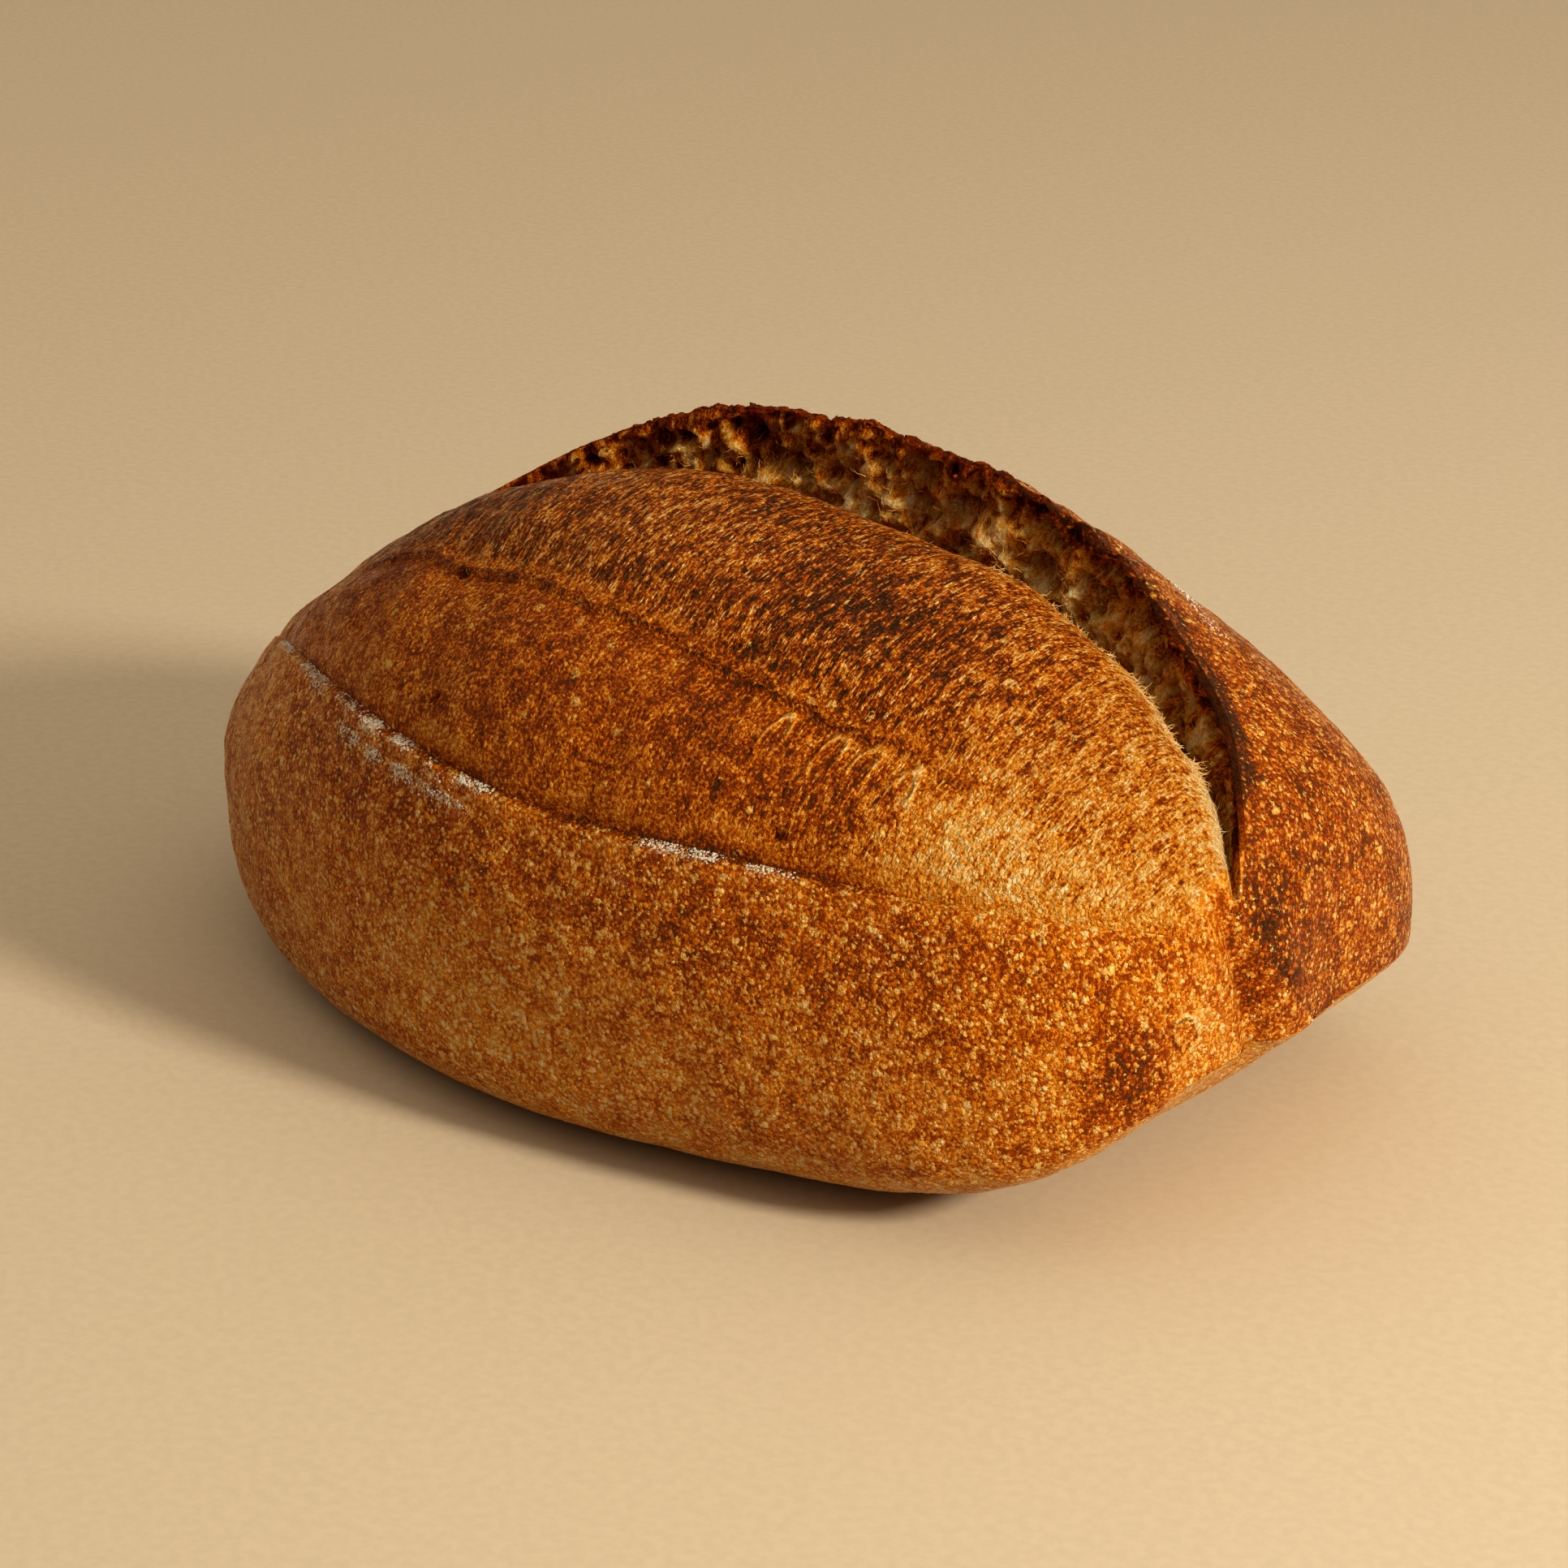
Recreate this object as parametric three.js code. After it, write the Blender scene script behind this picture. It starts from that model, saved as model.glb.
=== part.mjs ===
// Sourdough loaf: an oval hearth loaf with one long slash that has opened in the oven.
//
// The slash leaves a smooth bloom across the top, a second, ragged tear along the bloom, and a
// raised ear with a torn wall behind it. The loaf is one uncut, solid piece.
//
// Frame: millimetres, +X along the loaf, +Y towards the side that carries the ear, +Z up.
// The origin is on the floor, under the middle of the loaf.
//
// The surface is a row of closed rings, each in a plane across X. A ring is made of strips, in
// this order: front crust, lower bloom, upper bloom, torn wall, rim of the ear, back crust.

import * as THREE from 'three';

// ---- Driving dimensions: the plain loaf -----------------------------------------------------
const LENGTH = 270;
const WIDTH = 175;
const HEIGHT = 117; // to the top of the dome, without the ear
const BELLY_HEIGHT = 41; // of the widest line round the side
const TIP_LIFT = 36; // how far the underside has risen at the two tips
const FLAT_SHARE = 0.35; // share of the half length over which the underside is level
const SETTLE = 0.8; // depth by which the base is flattened where it rests

// How width and height run out towards the tips, as (1 - x^start)^end. The left tip is the slimmer.
const PLAN_LEFT = { start: 1.5, end: 0.437 };
const PLAN_RIGHT = { start: 1.5, end: 0.21 };
const DOME_LEFT = { start: 1.8, end: 0.62 };
const DOME_RIGHT = { start: 1.6, end: 0.27 };
const MIDDLE_SOFTNESS = 0.15; // rounds the meeting of the left and right halves
const UPPER_ROUND = 2.1; // exponent of the section above the belly: nearly an ellipse
const LOWER_ROUND = 5.8; // exponent below it: upright sides and a flat underside
const FRONT_FOOT = { round: 4.2, begins: 0, full: 0.55, fades: 0.65, ends: 0.95 }; // rounder there

// ---- Driving dimensions: the slash ----------------------------------------------------------
// Places round a section are angles in degrees: 0 back, 90 top, 180 front, 270 underside.
const LIP_ANGLE = 156; // lower edge of the opening, at its widest
const EAR_ANGLE = 75; // upper edge, under the ear
const LEFT_END_ANGLE = 102; // where both edges meet at the left tip
const RIGHT_END_ANGLE = 122; // and at the right tip
const END_DRIFT = { begins: -0.8, full: 0.9 }; // x over which one angle turns into the other
const END_WIDTH = 6; // between the edges where they run out
const BEND_PAST_EAR = 25; // from the ear's edge to where the bloom turns down
const BEND_LIMIT = 0.6; // largest share of the opening that may lie behind that bend
const MERGE_PAST_EAR = 20; // from the ear's edge back to the plain crust, where the slash is open
const MERGE_LEAST = 8; // and the same where it is closed
const TEAR_SHARE = 0.42; // place of the second tear, from the bend to the lip
const TEAR_DRIFT = 0.22; // how far that share grows from the middle to the right tip
const TEAR_WAVERS = [
  { amount: 2, rate: 9, seed: 0.5 },
  { amount: 1.1, rate: 30, seed: 1.5 },
];
const EAR_RISE = 9; // of the rim above the plain loaf
const RIM_ROUND = 0.9;
const RIM_FALL = 0.6; // of the rim's back edge below its front edge
const RIM_WIDTH = 2.3; // in degrees round the section: about 3.4 mm at the middle
const CREVICE_DEPTH = 24; // below the plain loaf, in front of the torn wall
const CREVICE_SHIFT = 4; // of the crevice towards the front
const CARVED = 0.15; // depth, as a share, from which the carved shape is full

// How the slash opens along x, from -1 at the left tip to 1 at the right: 1 at the middle, falling
// to 0 at the reach on either side, as (1 - distance^start)^end
const LIP_SPREAD = {
  middle: 0.1,
  left: { reach: 1.07, start: 1.7, end: 0.55 },
  right: { reach: 0.875, start: 1.7, end: 0.42 },
};
const EAR_SPREAD = {
  middle: 0.2,
  left: { reach: 1.17, start: 2, end: 0.8 },
  right: { reach: 0.775, start: 4, end: 0.6 },
};
const OPEN_SPREAD = {
  middle: 0.2,
  left: { reach: 1.17, start: 2.4, end: 0.5 },
  right: { reach: 0.775, start: 2.4, end: 0.5 },
};
const DEPTH_SPREAD = {
  middle: 0.25,
  left: { reach: 1.2, start: 2.4, end: 0.9 },
  right: { reach: 0.72, start: 2.4, end: 0.6 },
};

// Stretches along x over which a feature grows from nothing, stays full, and fades again
const EAR_STRETCH = { begins: -0.68, full: -0.1, fades: 0.45, ends: 0.78 };
const TEAR_STRETCH = { begins: -0.75, full: -0.5, fades: 0.5, ends: 0.72 };
const CREST_STRETCH = { begins: -0.55, full: -0.25, fades: 0.45, ends: 0.8 };

// Handles of the curves across the slash, as shares of their chords, with sideways shifts in mm
const INTO_CREVICE = { leave: 0.5, arrive: 0.38, arriveShift: 2 };
const UP_THE_WALL = { leave: 0.3, leaveShift: 3, arrive: 0.35, arriveShift: 3.5 };
const BEHIND_EAR = { leave: 0.35, leaveFall: 0.25, arrive: 0.4 };

// ---- Driving dimensions: relief -------------------------------------------------------------
const LUMP = { size: 34, height: 1.1 };
const SMALL_LUMP = { size: 15, height: 0.5 };
const LUMPS_FULL = 18; // height above the floor from which the lumps are full
const SHARP = 0.25; // depth of the slash, as a share, from which its edges have no lumps
const QUIET = { crevice: 12, ear: 10 }; // distances from an edge over which the lumps come back
const LEDGE = { height: 1.2, reach: 6 }; // the crust stands proud along the lip
const LIP_GROOVE = { depth: 0.9, reach: 3 };
const BLOOM_SWELL = 2.2; // of the lower bloom between lip and tear
const CREST = { height: 2.4, start: 2, full: 16, fades: 22, ends: 6 }; // swelling of the upper bloom
const TEAR_STEP = { sunk: 0.8, raised: 0.8, reach: 3.2 };
const RIM_NOTCH = { size: 10, height: 2.2, seed: 8.5 };
const WALL_RAG = { size: 8, height: 3, seed: 9.5 };
const WALL_EDGE = { floor: 6, rim: 5 }; // distances over which that grows from the wall's edges
const CREVICE_RAG = { share: 0.35, start: 8, fades: 14, ends: 30 }; // and how it runs on in the bloom
const BUBBLE = { width: 11, height: 8, depth: 4.6, seed: 1 }; // burst holes in the wall
const BUBBLE_BOWL = { bottom: 0.2, brim: 0.62 }; // shares of a cell that a hole takes up
const BUBBLE_CHOICE = { none: -0.7, whole: 0.5 }; // which of the cells have a hole
const TUCK = { depth: 2.8, width: 3.2, across: -17, lean: -0.24 }; // fold in the right tip
const TUCK_TOP = { fades: 54, ends: 70 }; // heights above the floor at which it ends
const TUCK_FOOT = { begins: 26, full: 36 };
const TUCK_NEAR_TIP = { begins: 0.7, full: 0.96 };
const TUCK_SWELL = { height: 2, away: 3.4, spread: 2.4 }; // beside it, in widths of the fold

// ---- Mesh density ---------------------------------------------------------------------------
const RINGS = 60;
const POINTS = { front: 25, lowerBloom: 11, upperBloom: 19, wall: 9, rim: 2, back: 27 };
const FINE_STEPS = 48; // steps in which each strip is first traced
const PLACE_STEPS = 4000; // steps in which the outline is measured to place the rings
const CELL_SCATTER = 0.4; // how far the centre of a cell may lie from its middle

const UP = new THREE.Vector2(0, 1);

function clamp01(value) {
  return Math.min(Math.max(value, 0), 1);
}

function smooth(low, high, value) {
  const t = clamp01((value - low) / (high - low));
  return t * t * (3 - 2 * t);
}

function mix(from, to, share) {
  return from + (to - from) * share;
}

// ---- Noise: one number between -1 and 1 for each point in space --------------------------------

function latticeValue(i, j, k) {
  const s = Math.sin(i * 127.1 + j * 311.7 + k * 74.7) * 43758.5453;
  return 2 * (s - Math.floor(s)) - 1;
}

function noise(x, y, z) {
  const corner = [x, y, z].map(Math.floor);
  const share = [x, y, z].map((v, axis) => smooth(0, 1, v - corner[axis]));
  let sum = 0;
  for (let n = 0; n < 8; n += 1) {
    const step = [n & 1, (n >> 1) & 1, n >> 2];
    const weight = step.reduce((w, s, axis) => w * (s ? share[axis] : 1 - share[axis]), 1);
    sum += weight * latticeValue(corner[0] + step[0], corner[1] + step[1], corner[2] + step[2]);
  }
  return sum;
}

function lump({ size, height }, p) {
  return height * noise(p.x / size, p.y / size, p.z / size);
}

// Distance to the nearest of many scattered centres, one to a unit square, and that centre's number
function nearestCell(u, v, seed) {
  let nearest = { distance: Infinity };
  for (const i of [-1, 0, 1].map((step) => Math.floor(u) + step)) {
    for (const j of [-1, 0, 1].map((step) => Math.floor(v) + step)) {
      const centreU = i + 0.5 + CELL_SCATTER * latticeValue(i, j, seed);
      const centreV = j + 0.5 + CELL_SCATTER * latticeValue(i, j, seed + 1);
      const distance = Math.hypot(u - centreU, v - centreV);
      if (distance < nearest.distance) nearest = { distance, number: latticeValue(i, j, seed + 2) };
    }
  }
  return nearest;
}

// ---- The plain loaf ---------------------------------------------------------------------------

// x to the power given, with a rounded start, and 1 at x = 1
function softPower(x, power) {
  const soft = MIDDLE_SOFTNESS ** 2;
  const base = soft ** (power / 2);
  return ((x * x + soft) ** (power / 2) - base) / ((1 + soft) ** (power / 2) - base);
}

function taper(x, left, right) {
  const { start, end } = x < 0 ? left : right;
  return Math.max(1 - softPower(x, start), 0) ** end;
}

// Sizes of the section at x, which runs from -1 at the left tip to 1 at the right
function section(x) {
  const lift = TIP_LIFT * Math.max(0, (Math.abs(x) - FLAT_SHARE) / (1 - FLAT_SHARE)) ** 3;
  return {
    x,
    halfWidth: (WIDTH / 2) * taper(x, PLAN_LEFT, PLAN_RIGHT),
    lift,
    belly: lift + BELLY_HEIGHT * (1 - x ** 4),
    dome: (HEIGHT - BELLY_HEIGHT) * taper(x, DOME_LEFT, DOME_RIGHT),
  };
}

// Exponent of the section below the belly, where a negative cosine is the front
function lowerRound(x, cos) {
  return mix(LOWER_ROUND, FRONT_FOOT.round, cos < 0 ? within(x, FRONT_FOOT) : 0);
}

// Point of the plain loaf at an angle: a Vector2 of (y, z)
function plainPoint(s, angle) {
  const cos = Math.cos(THREE.MathUtils.degToRad(angle));
  const sin = Math.sin(THREE.MathUtils.degToRad(angle));
  const round = sin >= 0 ? UPPER_ROUND : lowerRound(s.x, cos);
  const y = Math.sign(cos) * Math.abs(cos) ** (2 / round) * s.halfWidth;
  const rise = Math.abs(sin) ** (2 / round);
  return new THREE.Vector2(y, sin >= 0 ? s.belly + s.dome * rise : s.belly - (s.belly - s.lift) * rise);
}

// Direction along the plain loaf at an angle, running from front to back over the top
function plainDirection(s, angle) {
  return plainPoint(s, angle - 0.5).sub(plainPoint(s, angle + 0.5)).normalize();
}

// ---- The slash ----------------------------------------------------------------------------------

function spreadAt(x, { middle, left, right }) {
  const { reach, start, end } = x < middle ? left : right;
  return Math.max(1 - Math.abs((x - middle) / reach) ** start, 0) ** end;
}

function within(x, { begins, full, fades, ends }) {
  return smooth(begins, full, x) * (1 - smooth(fades, ends, x));
}

function slashAngles(x) {
  const meet = mix(LEFT_END_ANGLE, RIGHT_END_ANGLE, smooth(END_DRIFT.begins, END_DRIFT.full, x));
  const open = spreadAt(x, OPEN_SPREAD);
  const lip = mix(meet + END_WIDTH / 2, LIP_ANGLE, spreadAt(x, LIP_SPREAD));
  const ear = mix(meet - END_WIDTH / 2, EAR_ANGLE, spreadAt(x, EAR_SPREAD));
  const bend = Math.min(ear + END_WIDTH / 2 + BEND_PAST_EAR * open, mix(ear, lip, BEND_LIMIT));
  const wavers = TEAR_WAVERS.map(({ amount, rate, seed }) => amount * noise(x * rate, seed, 0.5));
  const tear = mix(bend, lip, TEAR_SHARE + TEAR_DRIFT * x) + open * wavers.reduce((sum, w) => sum + w, 0);
  return { lip, tear, bend, ear, merge: ear - MERGE_LEAST - MERGE_PAST_EAR * open };
}

// How deep the slash is, how high the ear stands and how strong the second tear is, along x
function slashStrength(x) {
  return { deep: spreadAt(x, DEPTH_SPREAD), ear: within(x, EAR_STRETCH), tear: within(x, TEAR_STRETCH) };
}

function arc(s, from, to) {
  const points = [];
  for (let n = 0; n <= FINE_STEPS; n += 1) points.push(plainPoint(s, mix(from, to, n / FINE_STEPS)));
  return points;
}

function curve(start, leave, arrive, end) {
  return new THREE.CubicBezierCurve(start, leave, arrive, end).getPoints(FINE_STEPS);
}

function moved(point, y, z) {
  return new THREE.Vector2(point.x + y, point.y + z);
}

// The strips of one ring, as finely traced open lines
function traceStrips(s) {
  const angle = slashAngles(s.x);
  const { deep, ear } = slashStrength(s.x);
  const notch = RIM_NOTCH.height * noise((s.x * LENGTH) / 2 / RIM_NOTCH.size, RIM_NOTCH.seed, 0.5);
  const rise = (EAR_RISE + notch) * ear;
  const rimFrontAngle = angle.ear + RIM_WIDTH / 2;
  const rimBackAngle = angle.ear - RIM_WIDTH / 2;
  const floorAngle = angle.ear + RIM_WIDTH;
  const rimFront = moved(plainPoint(s, rimFrontAngle), 0, rise);
  const rimBack = moved(plainPoint(s, rimBackAngle), 0, rise - RIM_FALL * ear);
  const floor = moved(plainPoint(s, floorAngle), -CREVICE_SHIFT * deep, -CREVICE_DEPTH * deep);
  const bend = plainPoint(s, angle.bend);
  const merge = plainPoint(s, angle.merge);
  const dip = floor.distanceTo(bend);
  const wallHeight = rimFront.distanceTo(floor);
  const shoulder = merge.distanceTo(rimBack);
  const leaveRim = plainDirection(s, angle.ear).addScaledVector(UP, -BEHIND_EAR.leaveFall * deep);
  const intoCrevice = curve(
    bend,
    bend.clone().addScaledVector(plainDirection(s, angle.bend), dip * INTO_CREVICE.leave),
    moved(floor, -INTO_CREVICE.arriveShift * deep, dip * INTO_CREVICE.arrive),
    floor,
  );
  const upTheWall = curve(
    floor,
    moved(floor, UP_THE_WALL.leaveShift * deep, wallHeight * UP_THE_WALL.leave),
    moved(rimFront, UP_THE_WALL.arriveShift * deep, -wallHeight * UP_THE_WALL.arrive),
    rimFront,
  );
  const overRim = curve(
    rimFront,
    moved(rimFront, 0, RIM_ROUND * ear),
    moved(rimBack, 0, RIM_ROUND * ear),
    rimBack,
  );
  const behindEar = curve(
    rimBack,
    rimBack.clone().addScaledVector(leaveRim, shoulder * BEHIND_EAR.leave),
    merge.clone().addScaledVector(plainDirection(s, angle.merge), -shoulder * BEHIND_EAR.arrive),
    merge,
  );

  // The line itself, or where the slash is closed the plain loaf from one angle to the other
  const carved = smooth(0, CARVED, deep);
  const eased = (line, from, to) => arc(s, from, to).map((plain, n) => plain.lerp(line[n], carved));

  return {
    front: arc(s, 270, angle.lip),
    lowerBloom: arc(s, angle.lip, angle.tear),
    upperBloom: [...arc(s, angle.tear, angle.bend), ...eased(intoCrevice, angle.bend, floorAngle).slice(1)],
    wall: eased(upTheWall, floorAngle, rimFrontAngle),
    rim: eased(overRim, rimFrontAngle, rimBackAngle),
    back: [...eased(behindEar, rimBackAngle, angle.merge), ...arc(s, angle.merge, -90).slice(1)],
  };
}

// Points at equal steps along a traced line, without its last one. Each knows its distance from
// both ends of the line.
function evenPoints(line, count) {
  const distance = [0];
  for (let n = 1; n < line.length; n += 1) distance.push(distance[n - 1] + line[n].distanceTo(line[n - 1]));
  const total = distance[line.length - 1];
  const points = [];
  let n = 1;
  for (let k = 0; k < count; k += 1) {
    const walked = (total * k) / count;
    while (distance[n] < walked) n += 1;
    const share = (walked - distance[n - 1]) / (distance[n] - distance[n - 1]);
    points.push({ at: line[n - 1].clone().lerp(line[n], share), before: walked, after: total - walked });
  }
  return points;
}

// One ring: points in space with what the relief needs to know about each
function makeRing(x) {
  const s = section(x);
  const lines = traceStrips(s);
  return Object.entries(POINTS).flatMap(([strip, count]) =>
    evenPoints(lines[strip], count).map(({ at, before, after }) => ({
      position: new THREE.Vector3((x * LENGTH) / 2, at.x, at.y),
      strip,
      before,
      after,
      x,
    })),
  );
}

// ---- Relief: how far the surface stands out of the smooth form -------------------------------------

// The fold at the right tip, where the dough was tucked under: a groove with a swelling beside it,
// measured along X
function tuckRelief(p, x) {
  const above = smooth(TUCK_FOOT.begins, TUCK_FOOT.full, p.z);
  const below = 1 - smooth(TUCK_TOP.fades, TUCK_TOP.ends, p.z);
  const near = smooth(TUCK_NEAR_TIP.begins, TUCK_NEAR_TIP.full, x) * above * below;
  const across = (p.y - TUCK.across - TUCK.lean * (p.z - TIP_LIFT)) / TUCK.width;
  const groove = -TUCK.depth * Math.exp(-across * across);
  const side = TUCK_SWELL.height * Math.exp(-(((across - TUCK_SWELL.away) / TUCK_SWELL.spread) ** 2));
  return near * (groove + side);
}

// Burst holes in the torn wall, by distance along the loaf and below the rim
function bubbleDepth(along, belowRim) {
  const cell = nearestCell(along / BUBBLE.width, belowRim / BUBBLE.height, BUBBLE.seed);
  const bowl = 1 - smooth(BUBBLE_BOWL.bottom, BUBBLE_BOWL.brim, cell.distance);
  return BUBBLE.depth * bowl * smooth(BUBBLE_CHOICE.none, BUBBLE_CHOICE.whole, cell.number);
}

function reliefHeight({ position: p, strip, before, after, x }) {
  const { deep, tear } = slashStrength(x);
  const lumps = (lump(LUMP, p) + lump(SMALL_LUMP, p)) * smooth(0, LUMPS_FULL, p.z);
  const quiet = (level) => lumps * mix(1, level, clamp01(deep / SHARP));
  const along = p.x / WALL_RAG.size;
  const ragged = WALL_RAG.height * deep * noise(along, (p.y + p.z) / WALL_RAG.size, WALL_RAG.seed);
  const heights = {
    front: () => lumps + LEDGE.height * deep * Math.exp(-after / LEDGE.reach),
    lowerBloom: () =>
      lumps +
      BLOOM_SWELL * deep * Math.sin((Math.PI * before) / (before + after)) -
      LIP_GROOVE.depth * deep * Math.exp(-before / LIP_GROOVE.reach) -
      TEAR_STEP.sunk * tear * Math.exp(-after / TEAR_STEP.reach),
    upperBloom: () => {
      const crest = smooth(CREST.start, CREST.full, before) * smooth(CREST.ends, CREST.fades, after);
      const start = smooth(0, CREVICE_RAG.start, after);
      const rag = start * (1 - smooth(CREVICE_RAG.fades, CREVICE_RAG.ends, after));
      return (
        quiet(smooth(0, QUIET.crevice, after)) +
        CREST.height * within(x, CREST_STRETCH) * crest +
        TEAR_STEP.raised * tear * Math.exp(-before / TEAR_STEP.reach) +
        CREVICE_RAG.share * ragged * rag
      );
    },
    wall: () => {
      const inside = smooth(0, WALL_EDGE.floor, before) * smooth(0, WALL_EDGE.rim, after);
      return quiet(0) + inside * (ragged - deep * bubbleDepth(p.x, after));
    },
    rim: () => quiet(0),
    back: () => quiet(smooth(0, QUIET.ear, before)),
  };
  return heights[strip]();
}

// Outward direction of the smooth form at a point of a ring, from its neighbours
function outward(rings, i, j) {
  const count = rings[i].length;
  const left = rings[Math.max(i - 1, 0)][j].position;
  const right = rings[Math.min(i + 1, rings.length - 1)][j].position;
  const ahead = rings[i][(j + 1) % count].position;
  const behind = rings[i][(j + count - 1) % count].position;
  return right.clone().sub(left).cross(ahead.clone().sub(behind)).normalize();
}

function applyRelief(rings) {
  return rings.map((ring, i) =>
    ring.map((point, j) => {
      const p = point.position.clone().addScaledVector(outward(rings, i, j), reliefHeight(point));
      p.x += tuckRelief(point.position, point.x);
      p.z = Math.max(p.z - SETTLE, 0);
      return p;
    }),
  );
}

// ---- The mesh -----------------------------------------------------------------------------------------

// Places of the rings, at equal steps along the outline seen from the side and from above
function ringPlaces() {
  const places = [];
  const walked = [0];
  for (let n = 0; n <= PLACE_STEPS; n += 1) {
    const s = section(Math.sin(Math.PI * (n / PLACE_STEPS - 0.5)));
    places.push(s);
    if (n > 0) {
      const last = places[n - 1];
      const along = ((s.x - last.x) * LENGTH) / 2;
      const step = Math.hypot(along, s.halfWidth - last.halfWidth, s.dome - last.dome);
      walked.push(walked[n - 1] + step);
    }
  }
  const total = walked[PLACE_STEPS];
  return Array.from({ length: RINGS }, (_, k) => {
    const goal = (total * (k + 1)) / (RINGS + 1);
    const n = walked.findIndex((distance) => distance >= goal);
    return mix(places[n - 1].x, places[n].x, (goal - walked[n - 1]) / (walked[n] - walked[n - 1]));
  });
}

function meanPoint(points) {
  return points.reduce((sum, p) => sum.add(p), new THREE.Vector3()).divideScalar(points.length);
}

function loafGeometry() {
  const rings = applyRelief(ringPlaces().map(makeRing));
  const around = rings[0].length;
  const tips = [rings[0], rings[RINGS - 1]].map((ring, n) => meanPoint(ring).setX((n - 0.5) * LENGTH));
  const vertices = [...rings.flat(), ...tips];
  const [leftTip, rightTip] = [vertices.length - 2, vertices.length - 1];
  const faces = [];
  for (let j = 0; j < around; j += 1) {
    const next = (j + 1) % around;
    const last = (RINGS - 1) * around;
    faces.push(leftTip, j, next);
    faces.push(rightTip, last + next, last + j);
    for (let i = 0; i < RINGS - 1; i += 1) {
      const [a, b, c, d] = [i * around + j, (i + 1) * around + j, (i + 1) * around + next, i * around + next];
      const splitAtA = vertices[a].distanceTo(vertices[c]) < vertices[b].distanceTo(vertices[d]);
      faces.push(...(splitAtA ? [a, b, c, a, c, d] : [a, b, d, b, c, d]));
    }
  }
  const geometry = new THREE.BufferGeometry().setFromPoints(vertices);
  geometry.setIndex(faces);
  geometry.computeBoundingBox();
  const middle = geometry.boundingBox.getCenter(new THREE.Vector3());
  geometry.translate(-middle.x, -middle.y, 0);
  geometry.computeVertexNormals();
  return geometry;
}

const crust = new THREE.MeshStandardMaterial({ color: 0xa8602a, roughness: 0.55, metalness: 0 });
const loaf = new THREE.Mesh(loafGeometry(), crust);
loaf.name = 'loaf';

const part = new THREE.Group();
part.add(loaf);

export default part;
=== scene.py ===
"""An oval sourdough loaf with one long slash that has opened in the oven.

Metres, +X along the loaf, +Y towards the side that carries the ear, +Z up, floor at z = 0.

The loaf's skin is a grid of closed rings, each in a plane across X. A ring is made of strips that
run round the section: front crust, lower bloom, upper bloom, torn wall, rim of the ear, back crust.
Relief, how far each spot is baked and where flour lies are worked out for every point of the grid.
"""

import itertools
import math

import bpy
import numpy as np
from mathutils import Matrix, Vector


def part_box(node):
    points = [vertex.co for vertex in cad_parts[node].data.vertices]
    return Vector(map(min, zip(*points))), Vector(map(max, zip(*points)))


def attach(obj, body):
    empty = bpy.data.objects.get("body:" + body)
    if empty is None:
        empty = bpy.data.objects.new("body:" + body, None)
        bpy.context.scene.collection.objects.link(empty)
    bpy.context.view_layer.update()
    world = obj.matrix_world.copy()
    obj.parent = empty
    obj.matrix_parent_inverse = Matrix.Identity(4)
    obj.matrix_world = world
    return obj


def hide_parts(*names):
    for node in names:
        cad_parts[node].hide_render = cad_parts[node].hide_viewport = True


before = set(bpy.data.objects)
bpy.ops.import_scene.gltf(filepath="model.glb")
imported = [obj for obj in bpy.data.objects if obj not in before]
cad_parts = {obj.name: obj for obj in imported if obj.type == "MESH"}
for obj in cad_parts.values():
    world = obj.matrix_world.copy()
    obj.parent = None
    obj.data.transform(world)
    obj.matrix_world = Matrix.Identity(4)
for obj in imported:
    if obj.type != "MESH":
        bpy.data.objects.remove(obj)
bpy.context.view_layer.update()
MM = 0.001

# ---- Sizes: the plain loaf -----------------------------------------------------------------------
LENGTH = 0.270
WIDTH = 0.175
HEIGHT = 0.117          # to the top of the dome, without the ear
BELLY_HEIGHT = 0.041    # of the widest line round the side
TIP_LIFT = 0.036        # how far the underside has risen at the two tips
FLAT_SHARE = 0.35       # share of the half length over which the underside is level
SETTLE = 0.8 * MM       # depth by which the base is flattened where it rests

# How width and height run out towards the tips, as (1 - x^start)^end. The left tip is the slimmer.
PLAN_LEFT, PLAN_RIGHT = (1.5, 0.437), (1.5, 0.21)
DOME_LEFT, DOME_RIGHT = (1.8, 0.62), (1.6, 0.27)
MIDDLE_SOFTNESS = 0.15
UPPER_ROUND, LOWER_ROUND = 2.1, 5.8
FOOT_ROUND, FOOT_STRETCH = 4.2, (0, 0.55, 0.65, 0.95)   # the front's foot is rounder over this stretch

# ---- Sizes: the slash. Angles round a section: 0 back, 90 top, 180 front, 270 underside ----------
LIP_ANGLE, EAR_ANGLE = 156, 75
LEFT_END_ANGLE, RIGHT_END_ANGLE, END_WIDTH = 102, 122, 6
END_DRIFT = (-0.8, 0.9)                 # x over which one end angle turns into the other
BEND_PAST_EAR, BEND_LIMIT = 25, 0.6
MERGE_PAST_EAR, MERGE_LEAST = 20, 8
TEAR_SHARE, TEAR_DRIFT = 0.42, 0.22
TEAR_WAVERS = ((2, 9, 0.5), (1.1, 30, 1.5))     # amount, rate, seed
EAR_RISE = 9 * MM
RIM_ROUND, RIM_FALL = 0.9 * MM, 0.6 * MM
RIM_WIDTH = 2.3                         # in degrees round the section
CREVICE_DEPTH, CREVICE_SHIFT = 24 * MM, 4 * MM
CARVED = 0.15                           # depth, as a share, from which the carved shape is full

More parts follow.
